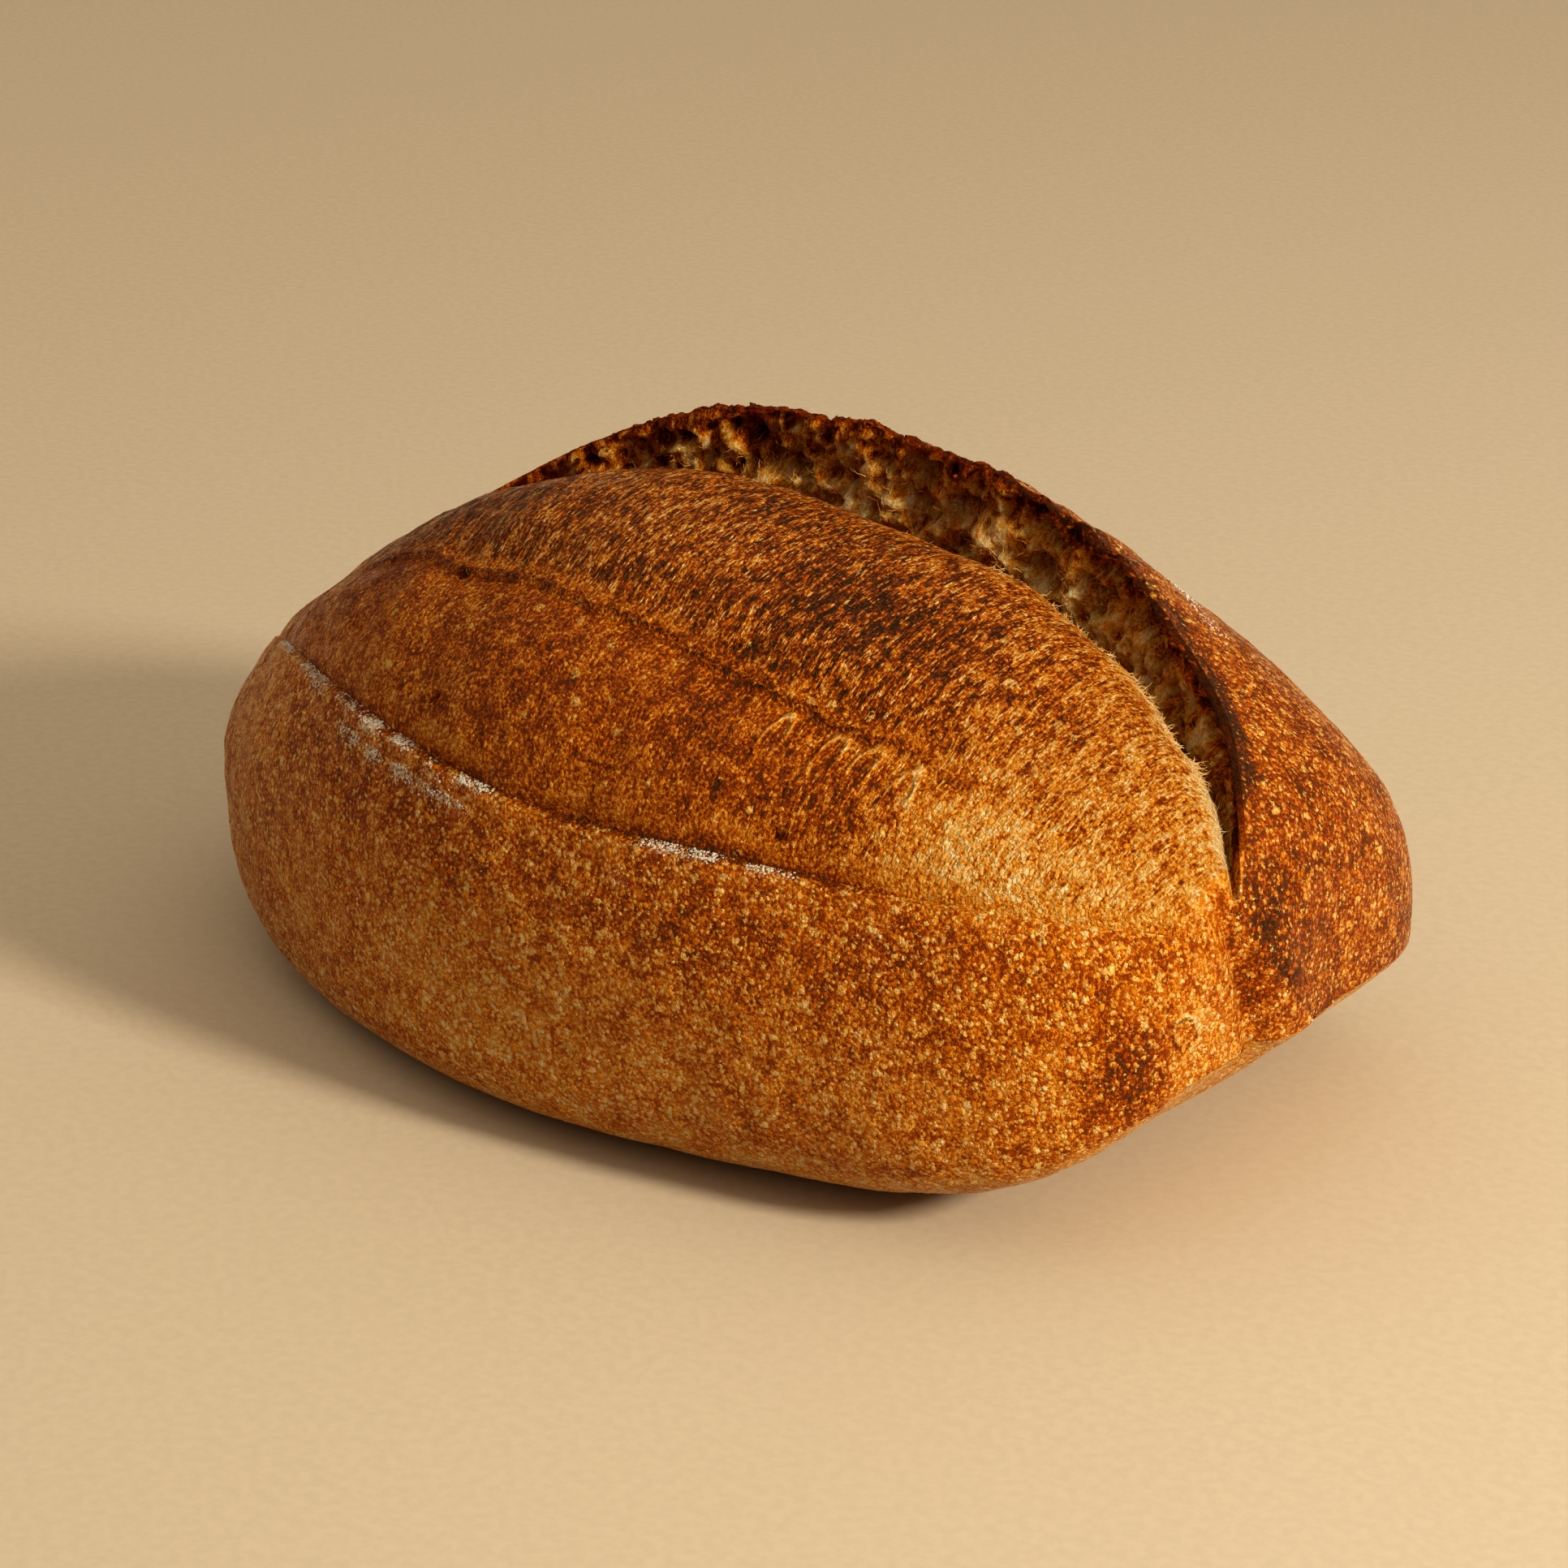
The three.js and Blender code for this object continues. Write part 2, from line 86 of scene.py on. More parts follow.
# How the slash opens along x: its middle, then (reach, start, end) to the left and to the right.
LIP_SPREAD = (0.1, (1.07, 1.7, 0.55), (0.875, 1.7, 0.42))
EAR_SPREAD = (0.2, (1.17, 2, 0.8), (0.775, 4, 0.6))
OPEN_SPREAD = (0.2, (1.17, 2.4, 0.5), (0.775, 2.4, 0.5))
DEPTH_SPREAD = (0.25, (1.2, 2.4, 0.9), (0.72, 2.4, 0.6))

# Stretches along x over which a feature begins, is full, fades and ends
EAR_STRETCH = (-0.68, -0.1, 0.45, 0.78)
TEAR_STRETCH = (-0.75, -0.5, 0.5, 0.72)
CREST_STRETCH = (-0.55, -0.25, 0.45, 0.8)

# Handles of the curves across the slash, as shares of their chords, with sideways shifts
CREVICE_LEAVE, CREVICE_ARRIVE, CREVICE_HANDLE = 0.5, 0.38, 2 * MM
WALL_LEAVE, WALL_ARRIVE, WALL_FOOT_HANDLE, WALL_TOP_HANDLE = 0.3, 0.35, 3 * MM, 3.5 * MM
BACK_LEAVE, BACK_ARRIVE, BACK_FALL = 0.35, 0.4, 0.25

# ---- Sizes: relief. Each noise has a size and a height -------------------------------------------
LUMP, SMALL_LUMP, LUMPS_FULL = (34 * MM, 1.1 * MM), (15 * MM, 0.5 * MM), 18 * MM
SHARP = 0.25                            # depth of the slash from which its edges have no lumps
QUIET_CREVICE, QUIET_EAR = 12 * MM, 10 * MM
PIMPLES, FINE_PIMPLES = (6 * MM, 0.22 * MM), (3 * MM, 0.12 * MM)
LEDGE_HEIGHT, LEDGE_REACH = 1.2 * MM, 6 * MM
LIP_GROOVE, LIP_GROOVE_REACH = 0.9 * MM, 3 * MM
BLOOM_SWELL = 2.2 * MM
TEAR_SUNK, TEAR_RAISED, TEAR_REACH = 0.6 * MM, 0.7 * MM, 2.4 * MM
RIM_NOTCH, RIM_CRUMBLE, RIM_SEED = (10 * MM, 2.2 * MM), (2.6 * MM, 1.3 * MM), 8.5
WALL_RAG, WALL_SEED = (8 * MM, 3 * MM), 9.5
WALL_FLOOR_EDGE, WALL_RIM_EDGE = 6 * MM, 5 * MM
CREVICE_RAG, CREVICE_RAG_REACH = 0.35, (8 * MM, 14 * MM, 30 * MM)
BUBBLE_BOWL, BUBBLE_CHOICE = (0.2, 0.62), (-0.7, 0.5)   # shares of a cell, and which cells have a hole
BURST_HOLES = ((11 * MM, 8 * MM, 4.6 * MM, 1),)         # width, height, depth, seed
TUCK_DEPTH, TUCK_WIDTH = 2.8 * MM, 3.2 * MM
TUCK_ACROSS, TUCK_LEAN = -17 * MM, -0.24     # where it meets the underside, and how far it leans
TUCK_FOOT, TUCK_TOP, TUCK_NEAR_TIP = (26 * MM, 36 * MM), (54 * MM, 70 * MM), (0.7, 0.96)
TUCK_SWELL, TUCK_SWELL_AWAY, TUCK_SWELL_SPREAD = 2.0 * MM, 3.4, 2.4
# Where the painted shade along the tuck's seam shows: the x near the tip, and its width in widths of the
# groove
SEAM_NEAR_TIP, SEAM_WIDTH = (0.85, 0.97), 0.45      # the width in widths of the groove
CREST_SWELL, CREST_START, CREST_END = 2.4 * MM, (2 * MM, 16 * MM), (6 * MM, 22 * MM)

# ---- Grid of the fine skin: points along the loaf and in each strip ------------------------------
RINGS = 400
STRIPS = {"front": 64, "lower_bloom": 34, "upper_bloom": 52, "wall": 40, "rim": 4, "back": 54}
CROWD = {"front": 0.72, "back": 1.35}   # crowds the points towards the lip and behind the ear
FINE_STEPS = 160


def smooth(low, high, value):
    t = np.clip((value - low) / (high - low), 0, 1)
    return t * t * (3 - 2 * t)


def mix(start, end, share):
    return start + (end - start) * share


# ---- Noise ---------------------------------------------------------------------------------------

def lattice_value(i, j, k):
    s = np.sin(i * 127.1 + j * 311.7 + k * 74.7) * 43758.5453
    return 2 * (s - np.floor(s)) - 1


def noise(x, y, z):
    """One number between -1 and 1 for each point in space."""
    point = np.stack(np.broadcast_arrays(x, y, z)).astype(float)
    corner = np.floor(point)
    share = smooth(0, 1, point - corner)
    total = 0
    for step in itertools.product((0, 1), repeat=3):
        weight = 1
        for axis, far in enumerate(step):
            weight = weight * (share[axis] if far else 1 - share[axis])
        total = total + weight * lattice_value(*(corner[axis] + step[axis] for axis in range(3)))
    return total


def lump(kind, p):
    """Noise of one size, times its height."""
    size, height = kind
    return height * noise(p[..., 0] / size, p[..., 1] / size, p[..., 2] / size)


def cells(u, v, seed):
    """Distance to the nearest of many scattered centres, one to a unit square, and its own number."""
    nearest = np.full(np.broadcast(u, v).shape, 9.0)
    number = np.zeros_like(nearest)
    for di, dj in itertools.product((-1, 0, 1), repeat=2):
        i, j = np.floor(u) + di, np.floor(v) + dj
        centre_u = i + 0.5 + 0.4 * lattice_value(i, j, seed)
        centre_v = j + 0.5 + 0.4 * lattice_value(i, j, seed + 1)
        distance = np.hypot(u - centre_u, v - centre_v)
        closer = distance < nearest
        nearest = np.where(closer, distance, nearest)
        number = np.where(closer, lattice_value(i, j, seed + 2), number)
    return nearest, number


# ---- The plain loaf ------------------------------------------------------------------------------

def soft_power(x, power):
    soft = MIDDLE_SOFTNESS ** 2
    base = soft ** (power / 2)
    return ((x * x + soft) ** (power / 2) - base) / ((1 + soft) ** (power / 2) - base)


def taper(x, left, right):
    def side(start, end):
        return np.maximum(1 - soft_power(x, start), 0) ** end
    return np.where(x < 0, side(*left), side(*right))


def section(x):
    """Half width, lift of the underside, height of the belly and of the dome above it."""
    lift = TIP_LIFT * np.maximum(0, (np.abs(x) - FLAT_SHARE) / (1 - FLAT_SHARE)) ** 3
    belly = lift + BELLY_HEIGHT * (1 - x ** 4)
    dome = (HEIGHT - BELLY_HEIGHT) * taper(x, DOME_LEFT, DOME_RIGHT)
    return WIDTH / 2 * taper(x, PLAN_LEFT, PLAN_RIGHT), lift, belly, dome


def plain_point(x, angle):
    """(y, z) of the plain loaf at an angle round the section at x."""
    half_width, lift, belly, dome = section(x)
    cos, sin = np.cos(np.radians(angle)), np.sin(np.radians(angle))
    upper = sin >= 0
    lower_round = mix(LOWER_ROUND, FOOT_ROUND, within(x, FOOT_STRETCH) * (cos < 0))
    y = np.sign(cos) * np.abs(cos) ** (2 / np.where(upper, UPPER_ROUND, lower_round)) * half_width
    above = belly + dome * np.abs(sin) ** (2 / UPPER_ROUND)
    below = belly - (belly - lift) * np.abs(sin) ** (2 / lower_round)
    return np.stack([y, np.where(upper, above, below)], -1)


def plain_direction(x, angle):
    step = plain_point(x, angle - 0.5) - plain_point(x, angle + 0.5)
    return step / np.linalg.norm(step, axis=-1, keepdims=True)


# ---- The slash -----------------------------------------------------------------------------------

def spread_at(x, spread_out):
    """1 at the middle of the opening, falling to 0 at its reach on either side."""
    middle, left, right = spread_out

    def side(reach, start, end):
        return np.maximum(1 - np.abs((x - middle) / reach) ** start, 0) ** end

    return np.where(x < middle, side(*left), side(*right))


def within(x, stretch):
    begins, full, fades, ends = stretch
    return smooth(begins, full, x) * (1 - smooth(fades, ends, x))


def slash_angles(x):
    meet = mix(LEFT_END_ANGLE, RIGHT_END_ANGLE, smooth(*END_DRIFT, x))
    open_share = spread_at(x, OPEN_SPREAD)
    lip = mix(meet + END_WIDTH / 2, LIP_ANGLE, spread_at(x, LIP_SPREAD))
    ear = mix(meet - END_WIDTH / 2, EAR_ANGLE, spread_at(x, EAR_SPREAD))
    bend = np.minimum(ear + END_WIDTH / 2 + BEND_PAST_EAR * open_share, mix(ear, lip, BEND_LIMIT))
    waver = sum(amount * noise(x * rate, seed, 0.5) for amount, rate, seed in TEAR_WAVERS)
    tear = mix(bend, lip, TEAR_SHARE + TEAR_DRIFT * x) + waver * open_share
    return {"lip": lip, "tear": tear, "bend": bend, "ear": ear,
            "merge": ear - MERGE_LEAST - MERGE_PAST_EAR * open_share}


def slash_strength(x):
    """How deep the slash is, how high the ear stands and how strong the second tear is."""
    return spread_at(x, DEPTH_SPREAD), within(x, EAR_STRETCH), within(x, TEAR_STRETCH)


def arc(x, start, end):
    share = np.linspace(0, 1, FINE_STEPS + 1)
    return plain_point(x[:, None], start[:, None] + (end - start)[:, None] * share)


def curve(start, leave, arrive, end):
    t = np.linspace(0, 1, FINE_STEPS + 1)[None, :, None]
    a, b, c, d = (point[:, None] for point in (start, leave, arrive, end))
    return (1 - t) ** 3 * a + 3 * (1 - t) ** 2 * t * b + 3 * (1 - t) * t * t * c + t ** 3 * d


def moved(point, y, z):
    return point + np.stack(np.broadcast_arrays(y, z), -1)


def trace_strips(x):
    """The strips of every ring, each as a finely traced open line in (y, z)."""
    angle = slash_angles(x)
    deep, ear, _ = slash_strength(x)
    at = x * LENGTH / 2
    notch = sum(height * noise(at / size, RIM_SEED, 0.5) for size, height in (RIM_NOTCH, RIM_CRUMBLE))
    rise = (EAR_RISE + notch) * ear
    rim_front_angle, rim_back_angle = angle["ear"] + RIM_WIDTH / 2, angle["ear"] - RIM_WIDTH / 2
    floor_angle = angle["ear"] + RIM_WIDTH
    rim_front = moved(plain_point(x, rim_front_angle), 0, rise)
    rim_back = moved(plain_point(x, rim_back_angle), 0, rise - RIM_FALL * ear)
    floor = moved(plain_point(x, floor_angle), -CREVICE_SHIFT * deep, -CREVICE_DEPTH * deep)
    bend = plain_point(x, angle["bend"])
    merge = plain_point(x, angle["merge"])

    def distance(one, other):
        return np.linalg.norm(one - other, axis=1, keepdims=True)

    dip, shoulder = distance(floor, bend), distance(merge, rim_back)
    wall = distance(rim_front, floor)[:, 0]
    leave_rim = moved(plain_direction(x, angle["ear"]), 0, -BACK_FALL * deep)
    into_crevice = curve(bend, bend + plain_direction(x, angle["bend"]) * dip * CREVICE_LEAVE,
                         moved(floor, -CREVICE_HANDLE * deep, dip[:, 0] * CREVICE_ARRIVE), floor)
    behind_ear = curve(rim_back, rim_back + leave_rim * shoulder * BACK_LEAVE,
                       merge - plain_direction(x, angle["merge"]) * shoulder * BACK_ARRIVE, merge)
    rising = curve(floor, moved(floor, WALL_FOOT_HANDLE * deep, wall * WALL_LEAVE),
                   moved(rim_front, WALL_TOP_HANDLE * deep, -wall * WALL_ARRIVE), rim_front)
    over_rim = curve(rim_front, moved(rim_front, 0, RIM_ROUND * ear),
                     moved(rim_back, 0, RIM_ROUND * ear), rim_back)
    carved = smooth(0, CARVED, deep)[:, None, None]

    def eased(line, start, end):
        """The line, or where the slash has closed the plain loaf from one angle to the other."""
        return mix(arc(x, start, end), line, carved)

    every = np.ones_like(x)
    into_crevice = eased(into_crevice, angle["bend"], floor_angle)
    behind_ear = eased(behind_ear, rim_back_angle, angle["merge"])
    return {
        "front": arc(x, 270 * every, angle["lip"]),
        "lower_bloom": arc(x, angle["lip"], angle["tear"]),
        "upper_bloom": np.concatenate([arc(x, angle["tear"], angle["bend"]), into_crevice[:, 1:]], 1),
        "wall": eased(rising, floor_angle, rim_front_angle),
        "rim": eased(over_rim, rim_front_angle, rim_back_angle),
        "back": np.concatenate([behind_ear, arc(x, angle["merge"], -90 * every)[:, 1:]], 1),
    }


def spread(lines, count, crowd):
    """Count points along each traced line, with their distances from its start and its end."""
    steps = np.linalg.norm(np.diff(lines, axis=1), axis=2)
    walked = np.concatenate([np.zeros((len(lines), 1)), np.cumsum(steps, 1)], 1)
    share = (np.arange(count) / count) ** crowd
    at = np.empty((len(lines), count, 2))
    for row, (line, distance) in enumerate(zip(lines, walked)):
        goal = share * distance[-1]
        at[row, :, 0] = np.interp(goal, distance, line[:, 0])
        at[row, :, 1] = np.interp(goal, distance, line[:, 1])
    before = share * walked[:, -1:]
    return at, before, walked[:, -1:] - before


def ring_places():
    """Places of the rings from -1 to 1, at equal steps along the outline seen from above and the side."""
    x = np.sin(np.pi * np.linspace(-0.5, 0.5, 8001))
    half_width, _, _, dome = section(x)
    steps = np.sqrt(np.diff(x * LENGTH / 2) ** 2 + np.diff(half_width) ** 2 + np.diff(dome) ** 2)
    walked = np.concatenate([[0], np.cumsum(steps)])
    return np.interp(np.linspace(0, walked[-1], RINGS + 2)[1:-1], walked, x)


class Skin:
    """The smooth grid: position and what the relief and the colours need to know about each point."""

    def __init__(self):
        self.x = ring_places()[:, None]
        lines = trace_strips(self.x[:, 0])
        parts = {name: spread(lines[name], count, CROWD.get(name, 1)) for name, count in STRIPS.items()}
        section_points = np.concatenate([part[0] for part in parts.values()], 1)
        self.before = np.concatenate([part[1] for part in parts.values()], 1)
        self.after = np.concatenate([part[2] for part in parts.values()], 1)
        along = np.broadcast_to(self.x * LENGTH / 2, self.before.shape)
        self.position = np.concatenate([along[..., None], section_points], 2)
        steps = np.linalg.norm(np.diff(section_points, axis=1), axis=2)
        self.round = np.concatenate([np.zeros((RINGS, 1)), np.cumsum(steps, 1)], 1)
        self.strip = np.repeat(list(STRIPS), list(STRIPS.values()))
        self.outward = outward(self.position)

    def on(self, *names):
        return np.isin(self.strip, names)[None, :]


def by_strip(skin, values, elsewhere=0):
    """One number for each point of the grid: the value for its own strip, or the one given for the rest."""
    total = np.broadcast_to(elsewhere, skin.before.shape)
    for name, value in values.items():
        total = np.where(skin.on(name), value, total)
    return total


def outward(position):
    """Outward directions of a grid of closed rings."""
    ahead = np.roll(position, -1, axis=1) - np.roll(position, 1, axis=1)
    side = np.gradient(position, axis=0)
    normal = np.cross(side, ahead)
    return normal / np.maximum(np.linalg.norm(normal, axis=2, keepdims=True), 1e-12)


# ---- Relief --------------------------------------------------------------------------------------

def across_tuck(p):
    """Distance from the seam of the tuck, in widths of its groove."""
    return (p[..., 1] - TUCK_ACROSS - TUCK_LEAN * (p[..., 2] - TIP_LIFT)) / TUCK_WIDTH


def seam_shade_line(p, x):
    """1 along the seam of the tuck, where the groove's painted shade lies, falling to 0 within a few
    millimetres.
    """
    height = smooth(*TUCK_FOOT, p[..., 2]) * (1 - smooth(*TUCK_TOP, p[..., 2]))
    return smooth(*SEAM_NEAR_TIP, x) * height * np.exp(-(across_tuck(p) / SEAM_WIDTH) ** 2)


def tuck_relief(p, x):
    """The fold at the right tip, where the dough was tucked under, measured along X."""
    height = smooth(*TUCK_FOOT, p[..., 2]) * (1 - smooth(*TUCK_TOP, p[..., 2]))
    across = across_tuck(p)
    groove = -TUCK_DEPTH * np.exp(-across * across)
    side = TUCK_SWELL * np.exp(-((across - TUCK_SWELL_AWAY) / TUCK_SWELL_SPREAD) ** 2)
    return smooth(*TUCK_NEAR_TIP, x) * height * (groove + side)


def burst_holes(skin, kinds):
    """How far holes in the wall reach inwards, and 1 at their bottoms falling to 0 outside."""
    reach, inside = 0, 0
    for width, tall, depth, seed in kinds:
        distance, number = cells(skin.position[..., 0] / width, skin.after / tall, seed)
        share = (1 - smooth(*BUBBLE_BOWL, distance)) * smooth(*BUBBLE_CHOICE, number)
        reach, inside = reach + depth * share, np.maximum(inside, share)
    return reach, inside


def form_relief(skin):
    """The relief that the loaf's main form has."""
    p, before, after = skin.position, skin.before, skin.after
    deep, _, tear = slash_strength(skin.x)
    lumps = (lump(LUMP, p) + lump(SMALL_LUMP, p)) * smooth(0, LUMPS_FULL, p[..., 2])
    sharp = np.clip(deep / SHARP, 0, 1)
    quiet = {"front": 1, "lower_bloom": 1, "upper_bloom": smooth(0, QUIET_CREVICE, after), "wall": 0,
             "rim": 0, "back": smooth(0, QUIET_EAR, before)}
    crest = CREST_SWELL * within(skin.x, CREST_STRETCH)
    crest = crest * smooth(*CREST_START, before) * smooth(*CREST_END, after)
    size, height = WALL_RAG
    ragged = height * deep * noise(p[..., 0] / size, (p[..., 1] + p[..., 2]) / size, WALL_SEED)
    start, fades, ends = CREVICE_RAG_REACH
    holes = deep * burst_holes(skin, BURST_HOLES)[0]
    extra = {
        "front": LEDGE_HEIGHT * deep * np.exp(-after / LEDGE_REACH),
        "lower_bloom": BLOOM_SWELL * deep * np.sin(np.pi * before / (before + after))
        - LIP_GROOVE * deep * np.exp(-before / LIP_GROOVE_REACH)
        - TEAR_SUNK * tear * np.exp(-after / TEAR_REACH),
        "upper_bloom": crest + TEAR_RAISED * tear * np.exp(-before / TEAR_REACH)
        + CREVICE_RAG * ragged * smooth(0, start, after) * (1 - smooth(fades, ends, after)),
        "wall": (ragged - holes) * smooth(0, WALL_FLOOR_EDGE, before) * smooth(0, WALL_RIM_EDGE, after),
    }
    return by_strip(skin, {name: lumps * mix(1, quiet[name], sharp) + extra.get(name, 0) for name in STRIPS})


def at_place(place):
    """The point of the plain loaf at a place, which is (x, angle)."""
    x, angle = place
    return np.array([x * LENGTH / 2, *plain_point(x, angle)])


def near(p, place, along, across):
    """1 at a place, falling smoothly to 0 over the two distances."""
    gap = p - at_place(place)
    return np.exp(-(gap[..., 0] / along) ** 2 - (np.hypot(gap[..., 1], gap[..., 2]) / across) ** 2)


# ---- Sizes: single features of the skin. A place is (x, angle) -----------------------------------
DIMPLE, DIMPLE_DEPTH, DIMPLE_RADIUS = (0.143, 144.6), 1.2 * MM, 5.4 * MM
PITS = ((-0.191, 145.2), (-0.302, 123.5), (0.445, 148), (-0.759, 129.2))
# Pits: depth and radius of each hollow, and how much painted shade darkens it
PIT_DEPTH, PIT_RADIUS, PIT_SHADE = 1.6 * MM, 1.1 * MM, 0.22

# Slack folds of skin: place, half sizes along X, Y and Z, how much a ring stands up round the place
# and how much the place itself has sunk. The ring is also a painted highlight on its upper side, and the
# sunk place is painted shade inside it and under the ring
LOOP_PLACES = ((0.380, 135.2), (0.461, 134.8), (0.514, 134.2), (0.579, 134.6))
LOOP_SIZE = (2.1 * MM, 12 * MM, 3.2 * MM)
FOLDS = (*((place, LOOP_SIZE, 1.0, 0.3) for place in LOOP_PLACES),
         (DIMPLE, (6.8 * MM, 12 * MM, 2.7 * MM), 0.1, 1.0),
         ((-0.282, 137.8), (1.7 * MM, 8 * MM, 1.4 * MM), 0.5, 0.5),
         ((-0.066, 143.8), (1.6 * MM, 8 * MM, 1.6 * MM), 0.5, 0.5))
# A hole near the right tip, drawn like a fold, with the same painted highlight and shade
TIP_HOLES = (((0.984, 160.5), (6 * MM, 2.6 * MM, 2.8 * MM), 0.8, 1.6),)

# ---- Sizes: fine relief. Strands, crags and ragged edges: width along the loaf, length across, height
STRANDS = ((2.6 * MM, 7 * MM, 0.13 * MM), (9 * MM, 30 * MM, 0.7 * MM), (2.0 * MM, 3.0 * MM, 0.10 * MM))
CRAGS = ((4.6 * MM, 4.6 * MM, 1.6 * MM), (2.4 * MM, 6 * MM, 1.3 * MM))
RAGGED_TEAR, RAGGED_RIM = (3.6 * MM, 2.6 * MM, 0.5 * MM), (2.2 * MM, 1.8 * MM, 0.35 * MM)
RAGGED_LIP = (2.5 * MM, 0.35 * MM)              # width and height
PULLED_SEED, CRAG_SEED, TEAR_SEED, RIM_RAG_SEED, LIP_SEED = 5.5, 4.5, 7.5, 6.5, 3.5
BUBBLES = ((5 * MM, 4 * MM, 2.6 * MM, 4), (2.8 * MM, 2.4 * MM, 1.5 * MM, 7))    # width, height, depth, seed
RAG_REACH, PIMPLES_FULL, PIMPLES_BEHIND_RIM = 2 * MM, 12 * MM, 3 * MM
LOW_PIMPLES, HIGH_PIMPLES = 0.6, 0.4            # share of the crust's pimples on either half of the bloom
LOW_PULLED, LOW_RAGGED = 0.45, 0.5              # share of the upper bloom's strands and ragged tear
PULLED_PAST_LIP, PULLED_PAST_TEAR = 9 * MM, 3 * MM
CRAGS_ABOVE_FOOT, CRAGS_BELOW_RIM = 5 * MM, 1.5 * MM


def stretched(skin, width, length, seed):
    """Noise with one size along the loaf and another round the section."""
    return noise(skin.position[..., 0] / width, skin.round / length, seed)


def torn_crags(skin):
    """How far the torn crumb of the wall stands up."""
    return sum(height * (1 - 2 * np.abs(stretched(skin, width, length, CRAG_SEED)))
               for width, length, height in CRAGS)


def ragged(skin, kind, seed):
    width, length, height = kind
    return height * stretched(skin, width, length, seed)


def fine_relief(skin):
    """Pimples on the crust, strands that the opening pulled out across the bloom, bubbles in the wall."""
    p, before, after = skin.position, skin.before, skin.after
    deep, ear, tear = slash_strength(skin.x)
    pimples = (lump(PIMPLES, p) + lump(FINE_PIMPLES, p)) * smooth(0, PIMPLES_FULL, p[..., 2])
    pulled = sum(ragged(skin, kind, PULLED_SEED) for kind in STRANDS)
    torn = tear * ragged(skin, RAGGED_TEAR, TEAR_SEED)
    lip_width, lip_height = RAGGED_LIP
    lip = lip_height * deep * noise(p[..., 0] / lip_width, 1.5, LIP_SEED)
    crumb = torn_crags(skin) - burst_holes(skin, BUBBLES)[0]
    relief = {
        "front": pimples + lip * np.exp(-after / RAG_REACH),
        "lower_bloom": LOW_PIMPLES * pimples + LOW_PULLED * pulled * smooth(0, PULLED_PAST_LIP, before)
        + LOW_RAGGED * torn * np.exp(-after / RAG_REACH),
        "upper_bloom": HIGH_PIMPLES * pimples + pulled * smooth(0, PULLED_PAST_TEAR, before)
        + torn * np.exp(-before / RAG_REACH),
        "wall": crumb * smooth(0, CRAGS_ABOVE_FOOT, before) * smooth(0, CRAGS_BELOW_RIM, after) * deep,
        "rim": ear * ragged(skin, RAGGED_RIM, RIM_RAG_SEED),
        "back": pimples * smooth(0, PIMPLES_BEHIND_RIM, before),
    }
    total = by_strip(skin, relief)
    total = total - DIMPLE_DEPTH * near(p, DIMPLE, DIMPLE_RADIUS, DIMPLE_RADIUS)
    for pit in PITS:
        total = total - PIT_DEPTH * near(p, pit, PIT_RADIUS, PIT_RADIUS)
    return total


def relieved(skin):
    """The skin's final points: relief along the normal, then the tuck and the flat base."""
    p = skin.position + skin.outward * (form_relief(skin) + fine_relief(skin))[..., None]
    p[..., 0] += tuck_relief(skin.position, skin.x)
    p[..., 2] = np.maximum(p[..., 2] - SETTLE, 0)
    return p


# ---- How far each spot is baked: 0 is raw-white crumb, 1 is char ---------------------------------
CRUST_BAKE, BLOOM_BAKE, RIM_BAKE, UNDERSIDE_BAKE, EDGE_BAKE = 0.55, 0.69, 0.62, 0.41, 0.08
BACK_DARKER, BACK_FULL = 0.135, (-0.95, 0.3)    # the back is darker, towards the right tip above all
LOW_BLOOM_PALER, RIGHT_BLOOM_PALER, RIGHT_BLOOM = 0.03, 0.19, (0.45, 0.85)
BROAD_PATCHES, MIDDLING_PATCHES = (22 * MM, 0.045), (7 * MM, 0.05)     # size and amount
UNDERSIDE_FACING, UNDERSIDE_RAGGED, UNDERSIDE_UNEVEN = (-0.62, -0.36), 0.08, 0.5

# Single patches: place, reach along X, reach across, amount
DARK_CRUST = (((0.947, 172.5), 9 * MM, 9 * MM, 0.26), ((0.985, 112), 7 * MM, 9 * MM, 0.15),
              ((0.998, 121), 7 * MM, 10 * MM, 0.15), ((0.3, 172), 50 * MM, 12 * MM, 0.05))
PALE_CRUST = (((0.0, 184), 70 * MM, 24 * MM, 0.09), ((-0.62, 140), 22 * MM, 10 * MM, 0.06),
              ((0.13, 171), 12 * MM, 12 * MM, 0.04), ((0.985, 162), 10 * MM, 7 * MM, 0.08))
DARK_BLOOM = (((0.16, 98), 26 * MM, 9 * MM, 0.12), ((0.40, 112), 26 * MM, 12 * MM, 0.13),
              ((0.14, 120), 14 * MM, 8 * MM, 0.1), ((-0.42, 104), 24 * MM, 9 * MM, 0.09))
# The pale bloom patch at (0.68, 137), on the right part above the lip, is partly paler bloom and partly a
# painted highlight of the light's sheen there
PALE_BLOOM_AND_HIGHLIGHT = (((0.08, 111), 10 * MM, 7 * MM, 0.07), ((0.40, 100), 16 * MM, 5 * MM, 0.08),
              ((0.68, 137), 17 * MM, 11 * MM, 0.16), ((0.1, 146), 18 * MM, 7 * MM, 0.03),
              ((-0.4, 135), 30 * MM, 12 * MM, 0.07))

# Bands along the slash: middle and width of the band, then how much darker or paler it is
UNDER_LIP, UNDER_LIP_STRETCH, UNDER_LIP_DARKER = (13 * MM, 11 * MM), (-0.8, -0.4, 0.86, 0.97), 0.10
OVER_LIP, OVER_LIP_PALER = (4.5 * MM, 4 * MM), 0.07
TEAR_BORDER, TEAR_BORDER_PALER = (2.2 * MM, 1.6 * MM), 0.09
